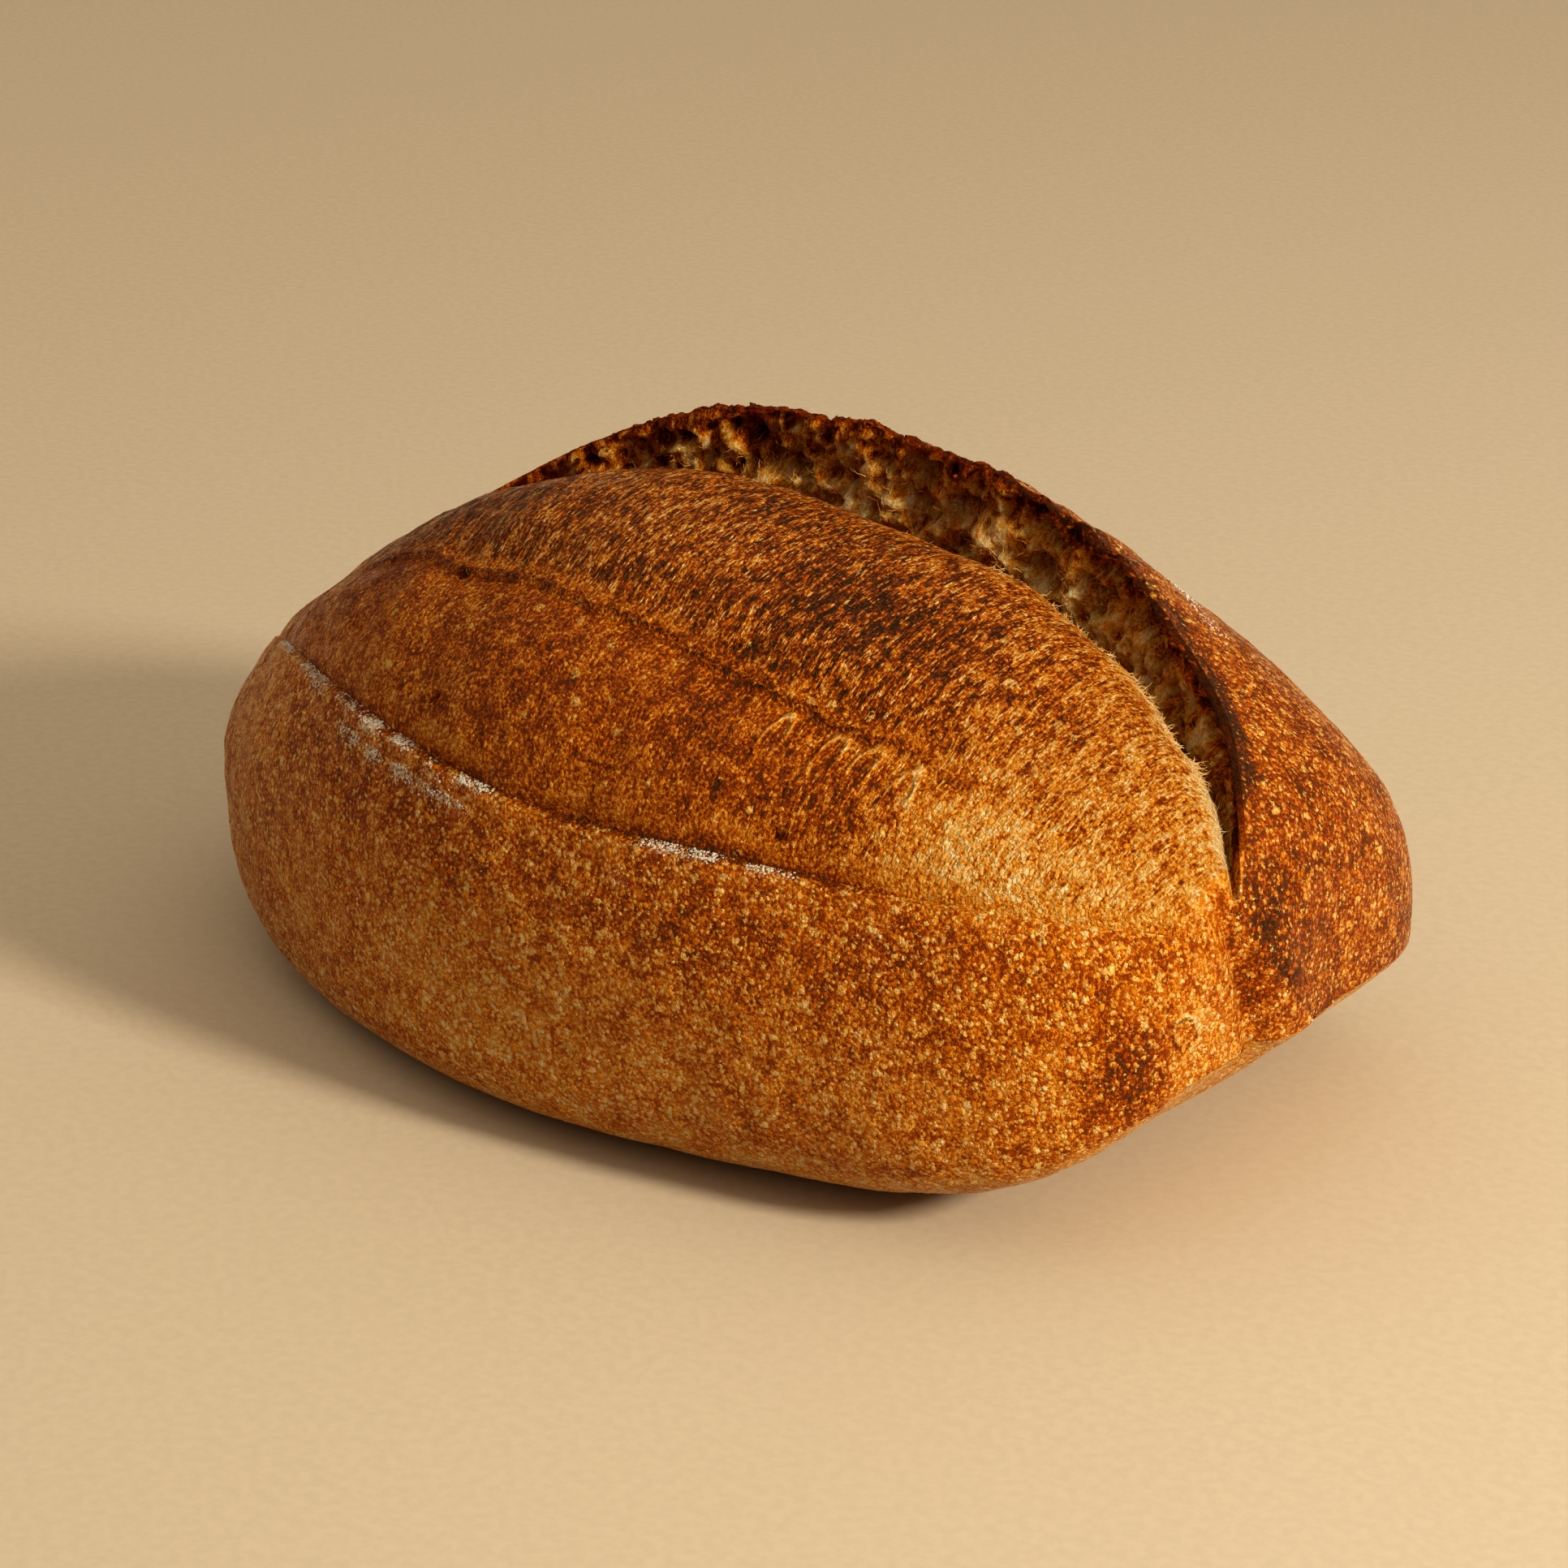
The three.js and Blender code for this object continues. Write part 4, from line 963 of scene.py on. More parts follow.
def strand_shapes(rng, count):
    """Thin tapered bent fibres along their own first axis, from 0 to 1."""
    t = np.linspace(0, 1, STRAND_STEPS)[None, :, None]
    turn = 2 * np.pi * np.arange(STRAND_TURNS) / STRAND_TURNS
    thinned = np.sqrt(1 - t ** STRAND_TAPER) * (1 - STRAND_END) + STRAND_END
    sway = rng.uniform(-1, 1, (2, count, 1, 1))
    start = rng.uniform(0, 2 * np.pi, (2, count, 1, 1))
    aside = [BEND_IN_WIDTHS * (STRAND_BEND * s * t * t + STRAND_WAVE * np.sin(w + STRAND_WAVES * t) * t)
             for s, w in zip(sway, start)]
    shape = np.stack(np.broadcast_arrays(
        t, aside[0] + thinned * np.cos(turn), aside[1] + thinned * np.sin(turn)), -1)
    ends = [tuple(range(STRAND_TURNS))[::-1],
            tuple(range((STRAND_STEPS - 1) * STRAND_TURNS, STRAND_STEPS * STRAND_TURNS))]
    side = [(s * STRAND_TURNS + k, s * STRAND_TURNS + (k + 1) % STRAND_TURNS,
             (s + 1) * STRAND_TURNS + (k + 1) % STRAND_TURNS, (s + 1) * STRAND_TURNS + k)
            for s in range(STRAND_STEPS - 1) for k in range(STRAND_TURNS)]
    return shape.reshape(count, -1, 3), ends + side


def make_crumb_strands(skin, points, shift):
    """Torn gluten strands: a fringe along the bloom's edge, and webs at the foot of the wall."""
    rng = np.random.default_rng(STRAND_SEED)
    deep, _, _ = slash_strength(skin.x)
    wide, tall = TUFT_SIZE
    clumps = noise(skin.position[..., 0] / wide, skin.after / tall, TUFT_SEED)
    tufts = np.clip(TUFT_MIDDLE + TUFT_SWING * clumps, TUFT_LEAST, 1)
    fringe = bell(skin.after, FRINGE_AT * deep, FRINGE_WIDTH) * within(skin.x, FRINGE_STRETCH) * tufts
    webs = WEBS_ON_WALL * deep * smooth(*WEBS_BELOW_RIM, skin.after)
    weight = by_strip(skin, {"upper_bloom": fringe, "wall": webs})
    place, frames, (_, j) = scattered(rng, points, weight, STRAND_COUNT)
    on_wall = skin.on("wall")[0][j]
    shortest, longer = STRAND_LONG
    long = MM * (shortest + longer * rng.random(STRAND_COUNT) ** 2)
    thick = MM * rng.uniform(*STRAND_THICK, STRAND_COUNT)
    lean = rng.uniform(0.0, STRAND_LEAN, (STRAND_COUNT, 1))
    swing = rng.uniform(-STRAND_SWING, STRAND_SWING, (STRAND_COUNT, 1))
    first = frames[:, 1] + lean * frames[:, 2] + swing * frames[:, 0]
    first /= np.linalg.norm(first, axis=1, keepdims=True)
    second = np.cross(frames[:, 2], first)
    second /= np.linalg.norm(second, axis=1, keepdims=True)
    axes = np.stack([first, second, np.cross(first, second)], 1)
    tone = np.where(on_wall, rng.uniform(*WALL_STRAND_BAKE, STRAND_COUNT),
                    rng.uniform(*FRINGE_BAKE, STRAND_COUNT))
    sizes = np.stack([long, thick, thick], 1)
    rooted = place - STRAND_ROOT * thick[:, None] * first
    return copies("crumb_strands", strand_shapes(rng, STRAND_COUNT), rooted + shift, axes, sizes, tone)


# ---- Nodes ---------------------------------------------------------------------------------------

def add(tree, kind, inputs=None, **settings):
    """A shader node with its settings, its inputs set to values or linked from sockets."""
    made = tree.nodes.new("ShaderNode" + kind)
    for setting, value in settings.items():
        setattr(made, setting, value)
    for socket, value in (inputs or {}).items():
        if isinstance(value, bpy.types.NodeSocket):
            tree.links.new(value, made.inputs[socket])
        else:
            made.inputs[socket].default_value = value
    return made


def reckon(tree, operation, *values):
    return add(tree, "Math", dict(enumerate(values)), operation=operation).outputs[0]


def ranged(tree, value, low, high, to_low=0.0, to_high=1.0):
    """Value carried smoothly from one range to another and held at its ends."""
    return add(tree, "MapRange", {"Value": value, "From Min": low, "From Max": high, "To Min": to_low,
                                  "To Max": to_high}, interpolation_type="SMOOTHSTEP").outputs["Result"]


def scaled(tree, vector, size):
    """A position in metres measured in steps of a size."""
    return add(tree, "VectorMath", {0: vector, "Scale": reckon(tree, "DIVIDE", 1.0, size)},
               operation="SCALE").outputs["Vector"]


def shifted(tree, vector, step, amount):
    """A vector moved by an amount of another."""
    scaled_step = add(tree, "VectorMath", {0: step, "Scale": amount}, operation="SCALE").outputs["Vector"]
    return add(tree, "VectorMath", {0: vector, 1: scaled_step}, operation="ADD").outputs["Vector"]


def start_group(name, inputs, outputs):
    """A node group with inputs (name, kind, default) and outputs (name, kind)."""
    tree = bpy.data.node_groups.new(name, "ShaderNodeTree")
    for label, kind, default in inputs:
        socket = tree.interface.new_socket(label, in_out="INPUT", socket_type="NodeSocket" + kind)
        if kind == "Float":
            socket.default_value = default
    for label, kind in outputs:
        tree.interface.new_socket(label, in_out="OUTPUT", socket_type="NodeSocket" + kind)
    return tree, tree.nodes.new("NodeGroupInput").outputs, tree.nodes.new("NodeGroupOutput").inputs


# Grain: the noise over this span gives the full swing, and the fine grain is this share of the broad one
GRAIN_SPAN, FINE_GRAIN, GRAIN_ROUGHNESS = (0.34, 0.66), 0.19, 0.62
# Specks: scale and amount of their bending, least size and how much more, distances of edge and of dome
SPECK_BEND, SPECK_SHIFT, SPECK_LEAST, SPECK_MORE = 2.6, 0.6, 0.45, 0.7
SPECK_EDGE, SPECK_DOME = (1.1, 0.75), (1.1, 0.2)
# Pull marks: scale and amount of their drift, least strength and how much more, edge, streaks
PULL_DRIFT, PULL_SHIFT, PULL_LEAST, PULL_MORE, PULL_EDGE = 0.22, 3.5, 0.4, 0.6, (0.44, 0.26)
STREAK_SCALE, STREAK_ROUGHNESS, STREAK_SPAN = 0.45, 0.7, (0.36, 0.64)
# Slack folds, in shares of their half sizes: width of the ring, height at which it fades, hollow, crease
RING_WIDTH, RING_FADES, RING_LEAST = 0.34, (-0.9, 0.6), 0.15
HOLLOW_REACH, CREASE_AT, CREASE_WIDTH, CREASE_FADES = (1.0, 0.6), 1.3, (0.26, 0.05), (0.1, -0.7)
# Crumb pores: scale of their bending, distances from a web at which pores are full and webs end
PORE_BEND, PORE_EDGE, WEB_EDGE = 0.8, (0.06, 0.38), (0.10, 0.0)
# Flour: level of the noise above which bare skin is dusted, how much flour lowers it, softness, roughness
DUST_LEVEL, DUST_LOWERED, DUST_EDGE, DUST_ROUGHNESS = 0.74, -0.42, 0.07, 0.7

# Crust colours by how far they are baked, as (level, linear red, green, blue).
BAKE_COLOURS = ((0.00, 0.90, 0.68, 0.38), (0.12, 0.86, 0.57, 0.25), (0.24, 0.77, 0.43, 0.115),
                (0.36, 0.74, 0.318, 0.036), (0.48, 0.61, 0.192, 0.006), (0.60, 0.42, 0.088, 0.002),
                (0.72, 0.220, 0.031, 0.001), (0.84, 0.110, 0.027, 0.004), (1.00, 0.030, 0.012, 0.006))


def baked_colour_group():
    tree, given, out = start_group("Baked colour", [("Bake", "Float", 0.5)], [("Colour", "Color")])
    ramp = add(tree, "ValToRGB", {"Fac": given["Bake"]})
    stops = ramp.color_ramp.elements
    while len(stops) < len(BAKE_COLOURS):
        stops.new(0.5)
    for stop, (level, *colour) in zip(stops, BAKE_COLOURS):
        stop.position = level
        stop.color = (*colour, 1)
    tree.links.new(ramp.outputs["Color"], out["Colour"])
    return tree


def crust_grain_group():
    """Two sizes of uneven browning, each between -1 and 1."""
    tree, given, out = start_group("Crust grain", [("Position", "Vector", None), ("Size", "Float", 0.003)],
                                   [("Broad", "Float"), ("Fine", "Float")])
    for label, share in (("Broad", 1.0), ("Fine", FINE_GRAIN)):
        at = scaled(tree, given["Position"], reckon(tree, "MULTIPLY", given["Size"], share))
        grain = add(tree, "TexNoise", {"Vector": at, "Scale": 1.0, "Detail": 3.0,
                                       "Roughness": GRAIN_ROUGHNESS})
        tree.links.new(ranged(tree, grain.outputs["Fac"], *GRAIN_SPAN, -1.0, 1.0), out[label])
    return tree


def speck_group():
    """Scattered spots: Speck is 1 on them, Dome rises to 1 at their middles, Number differs for each."""
    tree, given, out = start_group(
        "Skin specks", [("Position", "Vector", None), ("Size", "Float", 0.002), ("Share", "Float", 0.4),
                        ("Width", "Float", 0.3)],
        [("Speck", "Float"), ("Dome", "Float"), ("Number", "Float")])
    at = scaled(tree, given["Position"], given["Size"])
    bent = add(tree, "TexNoise", {"Vector": at, "Scale": SPECK_BEND, "Detail": 2.0})
    at = shifted(tree, at, bent.outputs["Color"], SPECK_SHIFT)
    spots = add(tree, "TexVoronoi", {"Vector": at, "Scale": 1.0})
    number = add(tree, "SeparateColor", {"Color": spots.outputs["Color"]})
    kept = reckon(tree, "LESS_THAN", number.outputs["Red"], given["Share"])
    size = reckon(tree, "MULTIPLY_ADD", number.outputs["Green"], SPECK_MORE, SPECK_LEAST)
    away = reckon(tree, "DIVIDE", spots.outputs["Distance"], reckon(tree, "MULTIPLY", size, given["Width"]))
    tree.links.new(reckon(tree, "MULTIPLY", ranged(tree, away, *SPECK_EDGE), kept), out["Speck"])
    tree.links.new(reckon(tree, "MULTIPLY", ranged(tree, away, *SPECK_DOME), kept), out["Dome"])
    tree.links.new(number.outputs["Blue"], out["Number"])
    return tree


def pull_marks_group():
    """Short pale strands and dark streaks that lie across the opening."""
    tree, given, out = start_group(
        "Pull marks", [("Along", "Float", 0.0), ("Across", "Float", 0.0), ("Width", "Float", 0.0005),
                       ("Length", "Float", 0.002), ("Share", "Float", 0.5)],
        [("Strand", "Float"), ("Streak", "Float")])
    steps = {"X": reckon(tree, "DIVIDE", given["Along"], given["Width"]),
             "Y": reckon(tree, "DIVIDE", given["Across"], given["Length"])}
    at = add(tree, "CombineXYZ", steps).outputs["Vector"]
    drift = add(tree, "TexNoise", {"Vector": at, "Scale": PULL_DRIFT, "Detail": 2.0})
    at = shifted(tree, at, drift.outputs["Color"], PULL_SHIFT)
    dashes = add(tree, "TexVoronoi", {"Vector": at, "Scale": 1.0, "Randomness": 1.0})
    number = add(tree, "SeparateColor", {"Color": dashes.outputs["Color"]})
    kept = reckon(tree, "LESS_THAN", number.outputs["Red"], given["Share"])
    shade = reckon(tree, "MULTIPLY_ADD", number.outputs["Green"], PULL_MORE, PULL_LEAST)
    dash = ranged(tree, dashes.outputs["Distance"], *PULL_EDGE)
    tree.links.new(reckon(tree, "MULTIPLY", dash, reckon(tree, "MULTIPLY", kept, shade)), out["Strand"])
    streaks = add(tree, "TexNoise", {"Vector": at, "Scale": STREAK_SCALE, "Detail": 3.0,
                                     "Roughness": STREAK_ROUGHNESS})
    tree.links.new(ranged(tree, streaks.outputs["Fac"], *STREAK_SPAN, -1.0, 1.0), out["Streak"])
    return tree


def slack_fold_group():
    """A slack ring of skin: Fold is 1 on its upper side, Hollow inside it, Crease under its lower side. In
    the colour, Fold is a painted highlight and Hollow and Crease are painted shade.
    """
    tree, given, out = start_group(
        "Slack fold", [("Position", "Vector", None), ("Place", "Vector", None), ("Size", "Vector", None)],
        [("Fold", "Float"), ("Hollow", "Float"), ("Crease", "Float")])
    gap = add(tree, "VectorMath", {0: given["Position"], 1: given["Place"]}, operation="SUBTRACT")
    shares = add(tree, "VectorMath", {0: gap.outputs["Vector"], 1: given["Size"]}, operation="DIVIDE")
    reach = add(tree, "VectorMath", {0: shares.outputs["Vector"]}, operation="LENGTH").outputs["Value"]
    beside = reckon(tree, "ABSOLUTE", reckon(tree, "SUBTRACT", reach, 1.0))
    above = add(tree, "SeparateXYZ", {"Vector": shares.outputs["Vector"]}).outputs["Z"]
    upper = ranged(tree, above, *RING_FADES, RING_LEAST, 1.0)
    tree.links.new(reckon(tree, "MULTIPLY", ranged(tree, beside, RING_WIDTH, 0.0), upper), out["Fold"])
    tree.links.new(ranged(tree, reach, *HOLLOW_REACH), out["Hollow"])
    beyond = reckon(tree, "ABSOLUTE", reckon(tree, "SUBTRACT", reach, CREASE_AT))
    crease = reckon(tree, "MULTIPLY", ranged(tree, beyond, *CREASE_WIDTH), ranged(tree, above, *CREASE_FADES))
    tree.links.new(crease, out["Crease"])
    return tree


def crumb_pore_group():
    """Open crumb: Pore is 1 inside a bubble, and Web is 1 on the walls between."""
    tree, given, out = start_group("Crumb pores", [("Position", "Vector", None), ("Size", "Float", 0.002)],
                                   [("Pore", "Float"), ("Web", "Float")])
    at = scaled(tree, given["Position"], given["Size"])
    bent = add(tree, "TexNoise", {"Vector": at, "Scale": PORE_BEND, "Detail": 2.0})
    at = add(tree, "VectorMath", {0: at, 1: bent.outputs["Color"]}, operation="ADD").outputs["Vector"]
    bubbles = add(tree, "TexVoronoi", {"Vector": at, "Scale": 1.0}, feature="DISTANCE_TO_EDGE")
    tree.links.new(ranged(tree, bubbles.outputs["Distance"], *PORE_EDGE), out["Pore"])
    tree.links.new(ranged(tree, bubbles.outputs["Distance"], *WEB_EDGE), out["Web"])
    return tree


def flour_dust_group():
    """Turns an amount of flour into broken dust."""
    tree, given, out = start_group("Flour dust", [("Flour", "Float", 0.0), ("Position", "Vector", None),
                                                  ("Grain", "Float", 0.0006)], [("Dust", "Float")])
    dust = add(tree, "TexNoise", {"Vector": scaled(tree, given["Position"], given["Grain"]), "Scale": 1.0,
                                  "Detail": 3.0, "Roughness": DUST_ROUGHNESS})
    level = reckon(tree, "MULTIPLY_ADD", given["Flour"], DUST_LOWERED, DUST_LEVEL)
    above = reckon(tree, "SUBTRACT", dust.outputs["Fac"], level)
    tree.links.new(ranged(tree, above, 0.0, DUST_EDGE), out["Dust"])
    return tree


GROUPS = {"colour": baked_colour_group(), "grain": crust_grain_group(), "specks": speck_group(),
          "pulls": pull_marks_group(), "fold": slack_fold_group(), "pores": crumb_pore_group(),
          "dust": flour_dust_group()}
FLOUR_COLOUR, PALE_SKIN = (0.86, 0.79, 0.67, 1), (0.95, 0.62, 0.17, 1)
CRUST_SHINE, BLOOM_SHINE, CRUMB_SHINE, SHINE_TINT = 0.32, 0.26, 0.05, (1.0, 0.58, 0.2, 1)


def place_group(tree, name, **inputs):
    made = add(tree, "Group", node_tree=GROUPS[name])
    for label, value in inputs.items():
        socket = made.inputs[label]
        if isinstance(value, bpy.types.NodeSocket):
            tree.links.new(value, socket)
        else:
            socket.default_value = value
    return made.outputs


def weighed(tree, base, *terms):
    """Base plus each value times its weight."""
    for value, weight in terms:
        base = reckon(tree, "MULTIPLY_ADD", value, weight, base)
    return base


def covered(tree, colour, share, top):
    """A colour with another over it, by its share."""
    mixed = add(tree, "Mix", {"Factor": share, "A": colour, "B": top}, data_type="RGBA")
    return mixed.outputs["Result"]


FOLD_SWAY, FOLD_SWAY_SIZE = 1.2 * MM, 5 * MM     # how far the rings wander, over what distance
# Slack folds: painted highlight on the upper side of the ring, painted shade in the hollow and in the crease
FOLD_STAND, FOLD_HIGHLIGHT, FOLD_GLOSS = 2.8, 0.33, -0.25
HOLLOW_SINK, HOLLOW_SHADE, CREASE_SINK, CREASE_SHADE = -0.3, 0.04, -0.6, 0.14
GLOW_REACH, GLOW_COLOUR = 3 * MM, (1.0, 0.42, 0.12)
DOME_GLOSS = -0.12                      # how much smoother the tops of the small dots are
# Share of the relief: fine browning, strands and streaks, pores and webs, cells and webs of the foam
BROWNING_STAND, STRAND_STAND, STREAK_SINK = 0.45, 0.5, -0.3
# The foam's webs are also painted lighter, by this much for each unit of painted shade in its cells
PORE_SINK, WEB_STAND, CELL_SINK, FOAM_WEB_STAND, FOAM_WEB_LIGHT = -1.0, 0.4, -0.6, 0.5, -1.4
DOT_LEAST, DOT_MORE, SPOT_LEAST, SPOT_MORE = 0.5, 0.7, 0.4, 0.6     # how strongly single ones show
GLOSS_SPAN, UNCHARRED, DUST_ROUGHER = (-0.8, 0.8), (0.84, 0.70), 0.35


def bread_material(name, grain, gloss, relief, dots=(), spots=(), pulls=(), folds=(), pores=None, foam=(),
                   shine=CRUMB_SHINE, glow=0.0, dusted=True):
    """A baked surface.

    grain: size, weight of the broad and of the fine browning.
    dots: size, share, width, how much paler they are baked, how much they stand up.
    spots: size, share, width, how far thin pale skin covers them, how much they stand up.
    pulls: width, length, share, how much paler the strands are, weight of the dark streaks.
    folds: place, half sizes, how much a ring stands up and is painted as a highlight, how much the place has
    sunk and is painted as shade.
    pores: size, how much darker they are painted, as shade inside the bubbles.
    foam: the same for each size of cell, with painted light on the webs between. It shows by the skin's own
    share.
    shine: specular level. gloss: lowest and highest roughness. relief: depth of the bump.
    glow: share of the light that comes back out through open crumb.
    """
    material = bpy.data.materials.new(name)
    material.use_nodes = True
    tree = material.node_tree
    shader = tree.nodes["Principled BSDF"]
    position = add(tree, "TexCoord").outputs["Object"]

    def attribute(label):
        return add(tree, "Attribute", attribute_name=label).outputs["Fac"]

    size, broad, fine = grain
    browning = place_group(tree, "grain", Position=position, Size=size)
    bake = weighed(tree, attribute("bake"), (browning["Broad"], broad), (browning["Fine"], fine))
    height = reckon(tree, "MULTIPLY", browning["Fine"], BROWNING_STAND)
    domes = 0.0
    for size, share, width, paler, stand in dots:
        dot = place_group(tree, "specks", Position=position, Size=size, Share=share, Width=width)
        shown = reckon(tree, "MULTIPLY_ADD", dot["Number"], DOT_MORE, DOT_LEAST)
        shade = reckon(tree, "MULTIPLY", dot["Speck"], shown)
        bake = weighed(tree, bake, (shade, -paler))
        height = weighed(tree, height, (dot["Dome"], stand))
        domes = weighed(tree, domes, (dot["Dome"], 1.0))
    for width, length, share, paler, darker in pulls:
        marks = place_group(tree, "pulls", Along=attribute("along"), Across=attribute("across"), Width=width,
                            Length=length, Share=share)
        shown = attribute("pulled")
        strand, streak = (reckon(tree, "MULTIPLY", marks[label], shown) for label in ("Strand", "Streak"))
        bake = weighed(tree, bake, (strand, -paler), (streak, darker))
        height = weighed(tree, height, (strand, STRAND_STAND), (streak, STREAK_SINK))
    rough = weighed(tree, ranged(tree, browning["Broad"], *GLOSS_SPAN, *gloss), (domes, DOME_GLOSS))
    if folds:
        sway = add(tree, "TexNoise", {"Vector": scaled(tree, position, FOLD_SWAY_SIZE), "Scale": 1.0})
        offset = add(tree, "VectorMath", {0: sway.outputs["Color"], 1: (0.5, 0.5, 0.5)}, operation="SUBTRACT")
        offset = add(tree, "VectorMath", {0: offset.outputs["Vector"], "Scale": FOLD_SWAY}, operation="SCALE")
        swayed = add(tree, "VectorMath", {0: position, 1: offset.outputs["Vector"]}, operation="ADD")
        for place, size, ring, sunk in folds:
            slack = place_group(tree, "fold", Position=swayed.outputs["Vector"], Place=place, Size=size)
            fold, hollow, crease = slack["Fold"], slack["Hollow"], slack["Crease"]
            bake = weighed(tree, bake, (fold, -FOLD_HIGHLIGHT * ring), (hollow, HOLLOW_SHADE * sunk),
                           (crease, CREASE_SHADE * sunk))
            height = weighed(tree, height, (fold, FOLD_STAND * ring), (hollow, HOLLOW_SINK * sunk),
                             (crease, CREASE_SINK * sunk))
            rough = weighed(tree, rough, (fold, FOLD_GLOSS * ring))
    if pores:
        size, darker = pores
        open_crumb = place_group(tree, "pores", Position=position, Size=size)
        # painted shade inside the pores
        bake = weighed(tree, bake, (open_crumb["Pore"], darker))
        height = weighed(tree, height, (open_crumb["Pore"], PORE_SINK), (open_crumb["Web"], WEB_STAND))
    for size, darker in foam:
        cells_shown = place_group(tree, "pores", Position=position, Size=size)
        shown = attribute("foam")
        cell, web = (reckon(tree, "MULTIPLY", cells_shown[label], shown) for label in ("Pore", "Web"))
        # painted shade in the foam's cells and painted light on its webs
        bake = weighed(tree, bake, (cell, darker), (web, FOAM_WEB_LIGHT * darker))
        height = weighed(tree, height, (cell, CELL_SINK), (web, FOAM_WEB_STAND))
    colour = place_group(tree, "colour", Bake=bake)["Colour"]
    uncharred = ranged(tree, bake, *UNCHARRED) if spots else None
    for size, share, width, cover, stand in spots:
        spot = place_group(tree, "specks", Position=position, Size=size, Share=share, Width=width)
        shown = reckon(tree, "MULTIPLY_ADD", spot["Number"], SPOT_MORE * cover, SPOT_LEAST * cover)
        shade = reckon(tree, "MULTIPLY", shown, uncharred)
        colour = covered(tree, colour, reckon(tree, "MULTIPLY", spot["Speck"], shade), PALE_SKIN)
        height = weighed(tree, height, (spot["Dome"], stand))
    if dusted:
        dust = place_group(tree, "dust", Flour=attribute("flour"), Position=position)["Dust"]
        colour = covered(tree, colour, dust, FLOUR_COLOUR)
        rough = reckon(tree, "MULTIPLY_ADD", dust, DUST_ROUGHER, rough)
    bump = add(tree, "Bump", {"Height": height, "Strength": 1.0, "Distance": relief})
    tree.links.new(colour, shader.inputs["Base Color"])
    tree.links.new(rough, shader.inputs["Roughness"])
    tree.links.new(bump.outputs["Normal"], shader.inputs["Normal"])
    shader.inputs["Specular IOR Level"].default_value = shine
    shader.inputs["Specular Tint"].default_value = SHINE_TINT
    shader.inputs["Subsurface Weight"].default_value = glow
    shader.inputs["Subsurface Radius"].default_value = GLOW_COLOUR
    shader.inputs["Subsurface Scale"].default_value = GLOW_REACH
    return material


def loaf_materials(shift):
    """Crust, bloom, crumb and rim, in the order of SKIN_MATERIALS."""
    folds, holes = (tuple((tuple(float(v) for v in at_place(place) + shift), *rest) for place, *rest in kinds)
                    for kinds in (FOLDS, TIP_HOLES))
    crust = bread_material("baked_crust", grain=(0.0042, 0.08, 0.14), relief=0.0005, gloss=(0.24, 0.42),
                           shine=CRUST_SHINE, folds=holes,
                           dots=((0.0011, 0.8, 0.46, 0.30, 0.7), (0.0021, 0.65, 0.40, 0.32, 1.0)),
                           spots=((0.0034, 0.35, 0.26, 1.0, 0.8), (0.0020, 0.5, 0.28, 1.0, 0.7),
                                  (0.0013, 0.45, 0.34, 1.0, 0.5)))
    bloom = bread_material("opened_bloom", grain=(0.0040, 0.08, 0.15), relief=0.0006, gloss=(0.2, 0.42),
                           shine=BLOOM_SHINE,
                           pulls=((0.00055, 0.0023, 0.38, 0.52, 0.17), (0.00038, 0.0015, 0.36, 0.46, 0.13)),
                           foam=((0.0024, 0.10), (0.0013, 0.10)), dots=((0.0011, 0.6, 0.46, 0.18, 0.6),),
                           spots=((0.0036, 0.22, 0.28, 0.7, 0.9),), folds=folds)
    crumb = bread_material("torn_crumb", grain=(0.0030, 0.08, 0.10), relief=0.0014, gloss=(0.5, 0.75),
                           pulls=((0.0011, 0.0042, 0.5, 0.14, 0.14), (0.0006, 0.0020, 0.4, 0.10, 0.10)),
                           pores=(0.0046, 0.16), glow=0.5, dusted=False)
    rim = bread_material("charred_rim", grain=(0.0015, 0.06, 0.10), relief=0.0005, gloss=(0.5, 0.75),
                         dusted=False)
    return crust, bloom, crumb, rim


def dress_small_things(blisters, bloom_blisters, grains, flakes, strands):
    """The finishes of the scattered pieces."""
    for piece, name, grain, gloss in (
            (blisters, "blister_skin", (0.0009, 0.06, 0.05), (0.3, 0.5)),
            (bloom_blisters, "bloom_blister_skin", (0.0011, 0.07, 0.05), (0.25, 0.45)),
            (grains, "flour_clots", (0.0005, 0.03, 0.03), (0.8, 0.9)),
            (flakes, "charred_flakes", (0.0012, 0.07, 0.07), (0.5, 0.75)),
            (strands, "crumb_fibres", (0.0015, 0.06, 0.04), (0.45, 0.65))):
        piece.data.materials.append(bread_material(name, grain=grain, gloss=gloss, relief=0.0001,
                                                   dusted=piece is grains))


# ---- Floor, light and camera ---------------------------------------------------------------------
CAMERA_AT, CAMERA_AIM, CAMERA_LENS = (0.5172, -0.6443, 0.4035), (0.0035, 0.0027, 0.0479), 98.3
FLOOR_SIZE, FLOOR_COLOUR = 20.0, (0.55, 0.463, 0.352)
FIBRE_SCALE, FIBRE_SPAN, FIBRE_TONES = 420.0, (0.3, 0.7), (0.96, 1.02)
FLOOR_ROUGHNESS, FLOOR_SHINE = 0.9, 0.2
SUN_AZIMUTH, SUN_ELEVATION, SUN_DISTANCE, SUN_SIZE = 0.0, 27.0, 1.6, 0.26
SUN_POWER, SUN_COLOUR = 27.0, (1.0, 0.90, 0.72)
SKY_COLOUR, SKY_AT_HORIZON, SKY_OVERHEAD, SKY_RISE = (1.0, 0.86, 0.66), 0.09, 0.79, (0.1, 0.9)


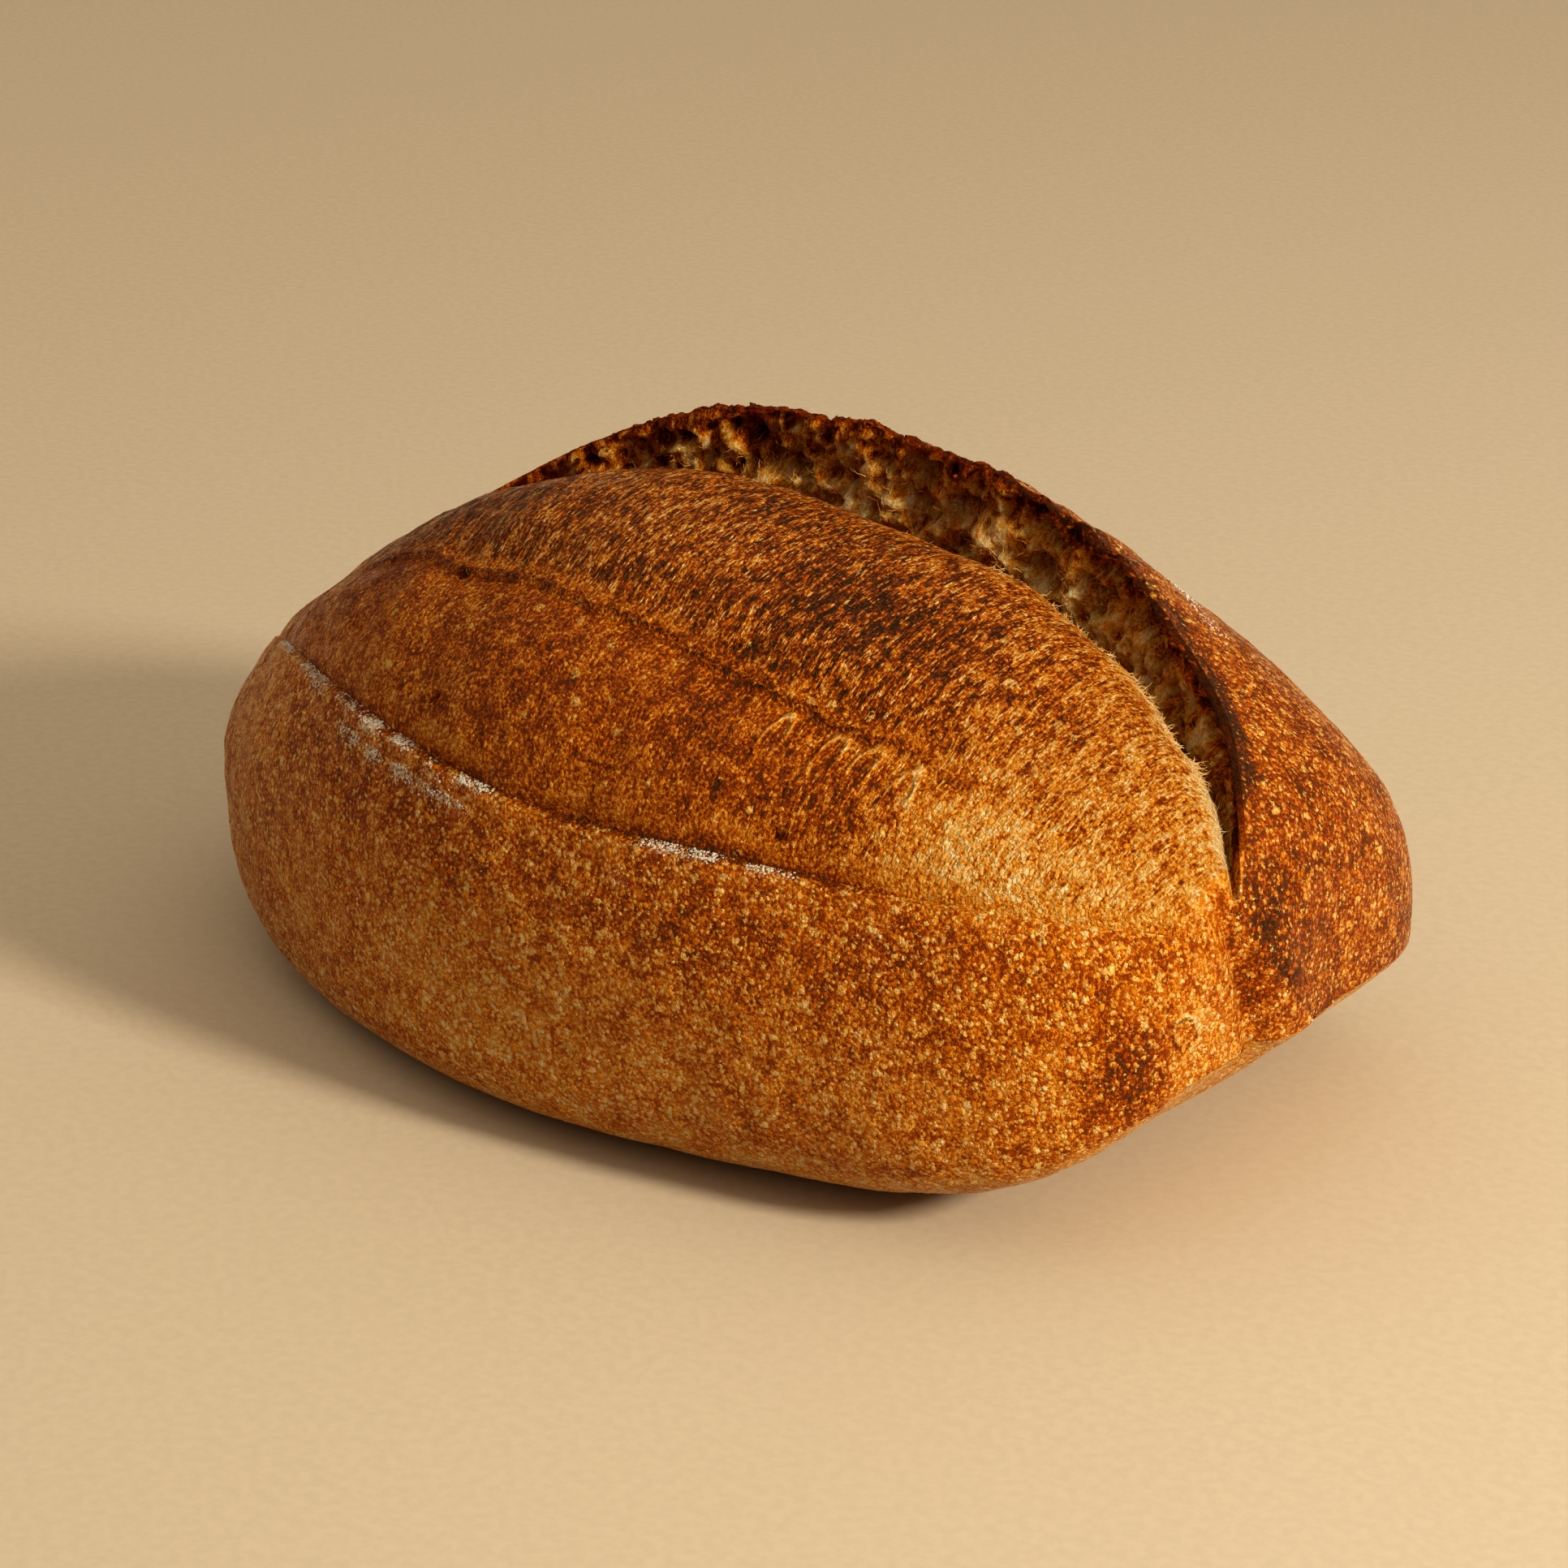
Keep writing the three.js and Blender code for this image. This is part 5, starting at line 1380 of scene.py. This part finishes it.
def make_floor():
    half = FLOOR_SIZE / 2
    mesh = bpy.data.meshes.new("floor")
    corners = [(-half, -half, 0), (half, -half, 0), (half, half, 0), (-half, half, 0)]
    mesh.from_pydata(corners, [], [(0, 1, 2, 3)])
    floor = bpy.data.objects.new("floor", mesh)
    bpy.context.scene.collection.objects.link(floor)
    material = bpy.data.materials.new("pale_board")
    material.use_nodes = True
    tree = material.node_tree
    place = add(tree, "TexCoord").outputs["Object"]
    fibre = add(tree, "TexNoise", {"Vector": place, "Scale": FIBRE_SCALE, "Detail": 4.0})
    tone = ranged(tree, fibre.outputs["Fac"], *FIBRE_SPAN, *FIBRE_TONES)
    tint = add(tree, "VectorMath", {0: FLOOR_COLOUR, "Scale": tone}, operation="SCALE")
    tree.links.new(tint.outputs["Vector"], tree.nodes["Principled BSDF"].inputs["Base Color"])
    tree.nodes["Principled BSDF"].inputs["Roughness"].default_value = FLOOR_ROUGHNESS
    tree.nodes["Principled BSDF"].inputs["Specular IOR Level"].default_value = FLOOR_SHINE
    mesh.materials.append(material)


def towards(thing, aim):
    thing.rotation_euler = (Vector(aim) - thing.location).to_track_quat("-Z", "Y").to_euler()


def make_light():
    """Low soft sunlight from the right tip's side, and a sky that is brightest overhead."""
    azimuth, elevation = math.radians(SUN_AZIMUTH), math.radians(SUN_ELEVATION)
    direction = Vector((math.cos(elevation) * math.cos(azimuth), math.cos(elevation) * math.sin(azimuth),
                        math.sin(elevation)))
    data = bpy.data.lights.new("window", "AREA")
    data.shape, data.size, data.energy, data.color = "DISK", SUN_SIZE, SUN_POWER, SUN_COLOUR
    window = bpy.data.objects.new("window", data)
    window.location = Vector(CAMERA_AIM) + SUN_DISTANCE * direction
    towards(window, CAMERA_AIM)
    bpy.context.scene.collection.objects.link(window)
    world = bpy.context.scene.world or bpy.data.worlds.new("studio")
    bpy.context.scene.world = world
    world.use_nodes = True
    tree = world.node_tree
    sky = tree.nodes["Background"]
    up = add(tree, "SeparateXYZ", {"Vector": add(tree, "TexCoord").outputs["Generated"]}).outputs["Z"]
    sky.inputs["Color"].default_value = (*SKY_COLOUR, 1)
    tree.links.new(ranged(tree, up, *SKY_RISE, SKY_AT_HORIZON, SKY_OVERHEAD), sky.inputs["Strength"])


def make_camera():
    data = bpy.data.cameras.new("camera")
    data.lens, data.sensor_width, data.clip_end = CAMERA_LENS, 36, 100
    camera = bpy.data.objects.new("camera", data)
    camera.location = CAMERA_AT
    towards(camera, CAMERA_AIM)
    bpy.context.scene.collection.objects.link(camera)
    bpy.context.scene.camera = camera


def make_scene():
    bpy.context.scene.view_settings.view_transform = "Standard"
    bpy.context.scene.view_settings.look = "Medium High Contrast"
    make_camera()
    make_floor()
    make_light()
    skin = Skin()
    points = relieved(skin)
    facing = outward(points)
    levels, flour = bake_levels(skin, facing), flour_levels(skin, facing)
    low, high = (np.array(corner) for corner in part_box("loaf"))
    reach = np.array([0, (points[..., 1].min() + points[..., 1].max()) / 2, 0])
    shift = np.array([(low[0] + high[0]) / 2, (low[1] + high[1]) / 2, low[2]]) - reach
    loaf = make_loaf(skin, points, levels, flour, shift)
    for material in loaf_materials(shift):
        loaf.data.materials.append(material)
    dress_small_things(make_blisters(skin, points, levels, shift),
                       make_bloom_blisters(skin, points, levels, shift),
                       make_flour_grains(points, flour, shift),
                       make_rim_flakes(skin, points, shift),
                       make_crumb_strands(skin, points, shift))


make_scene()
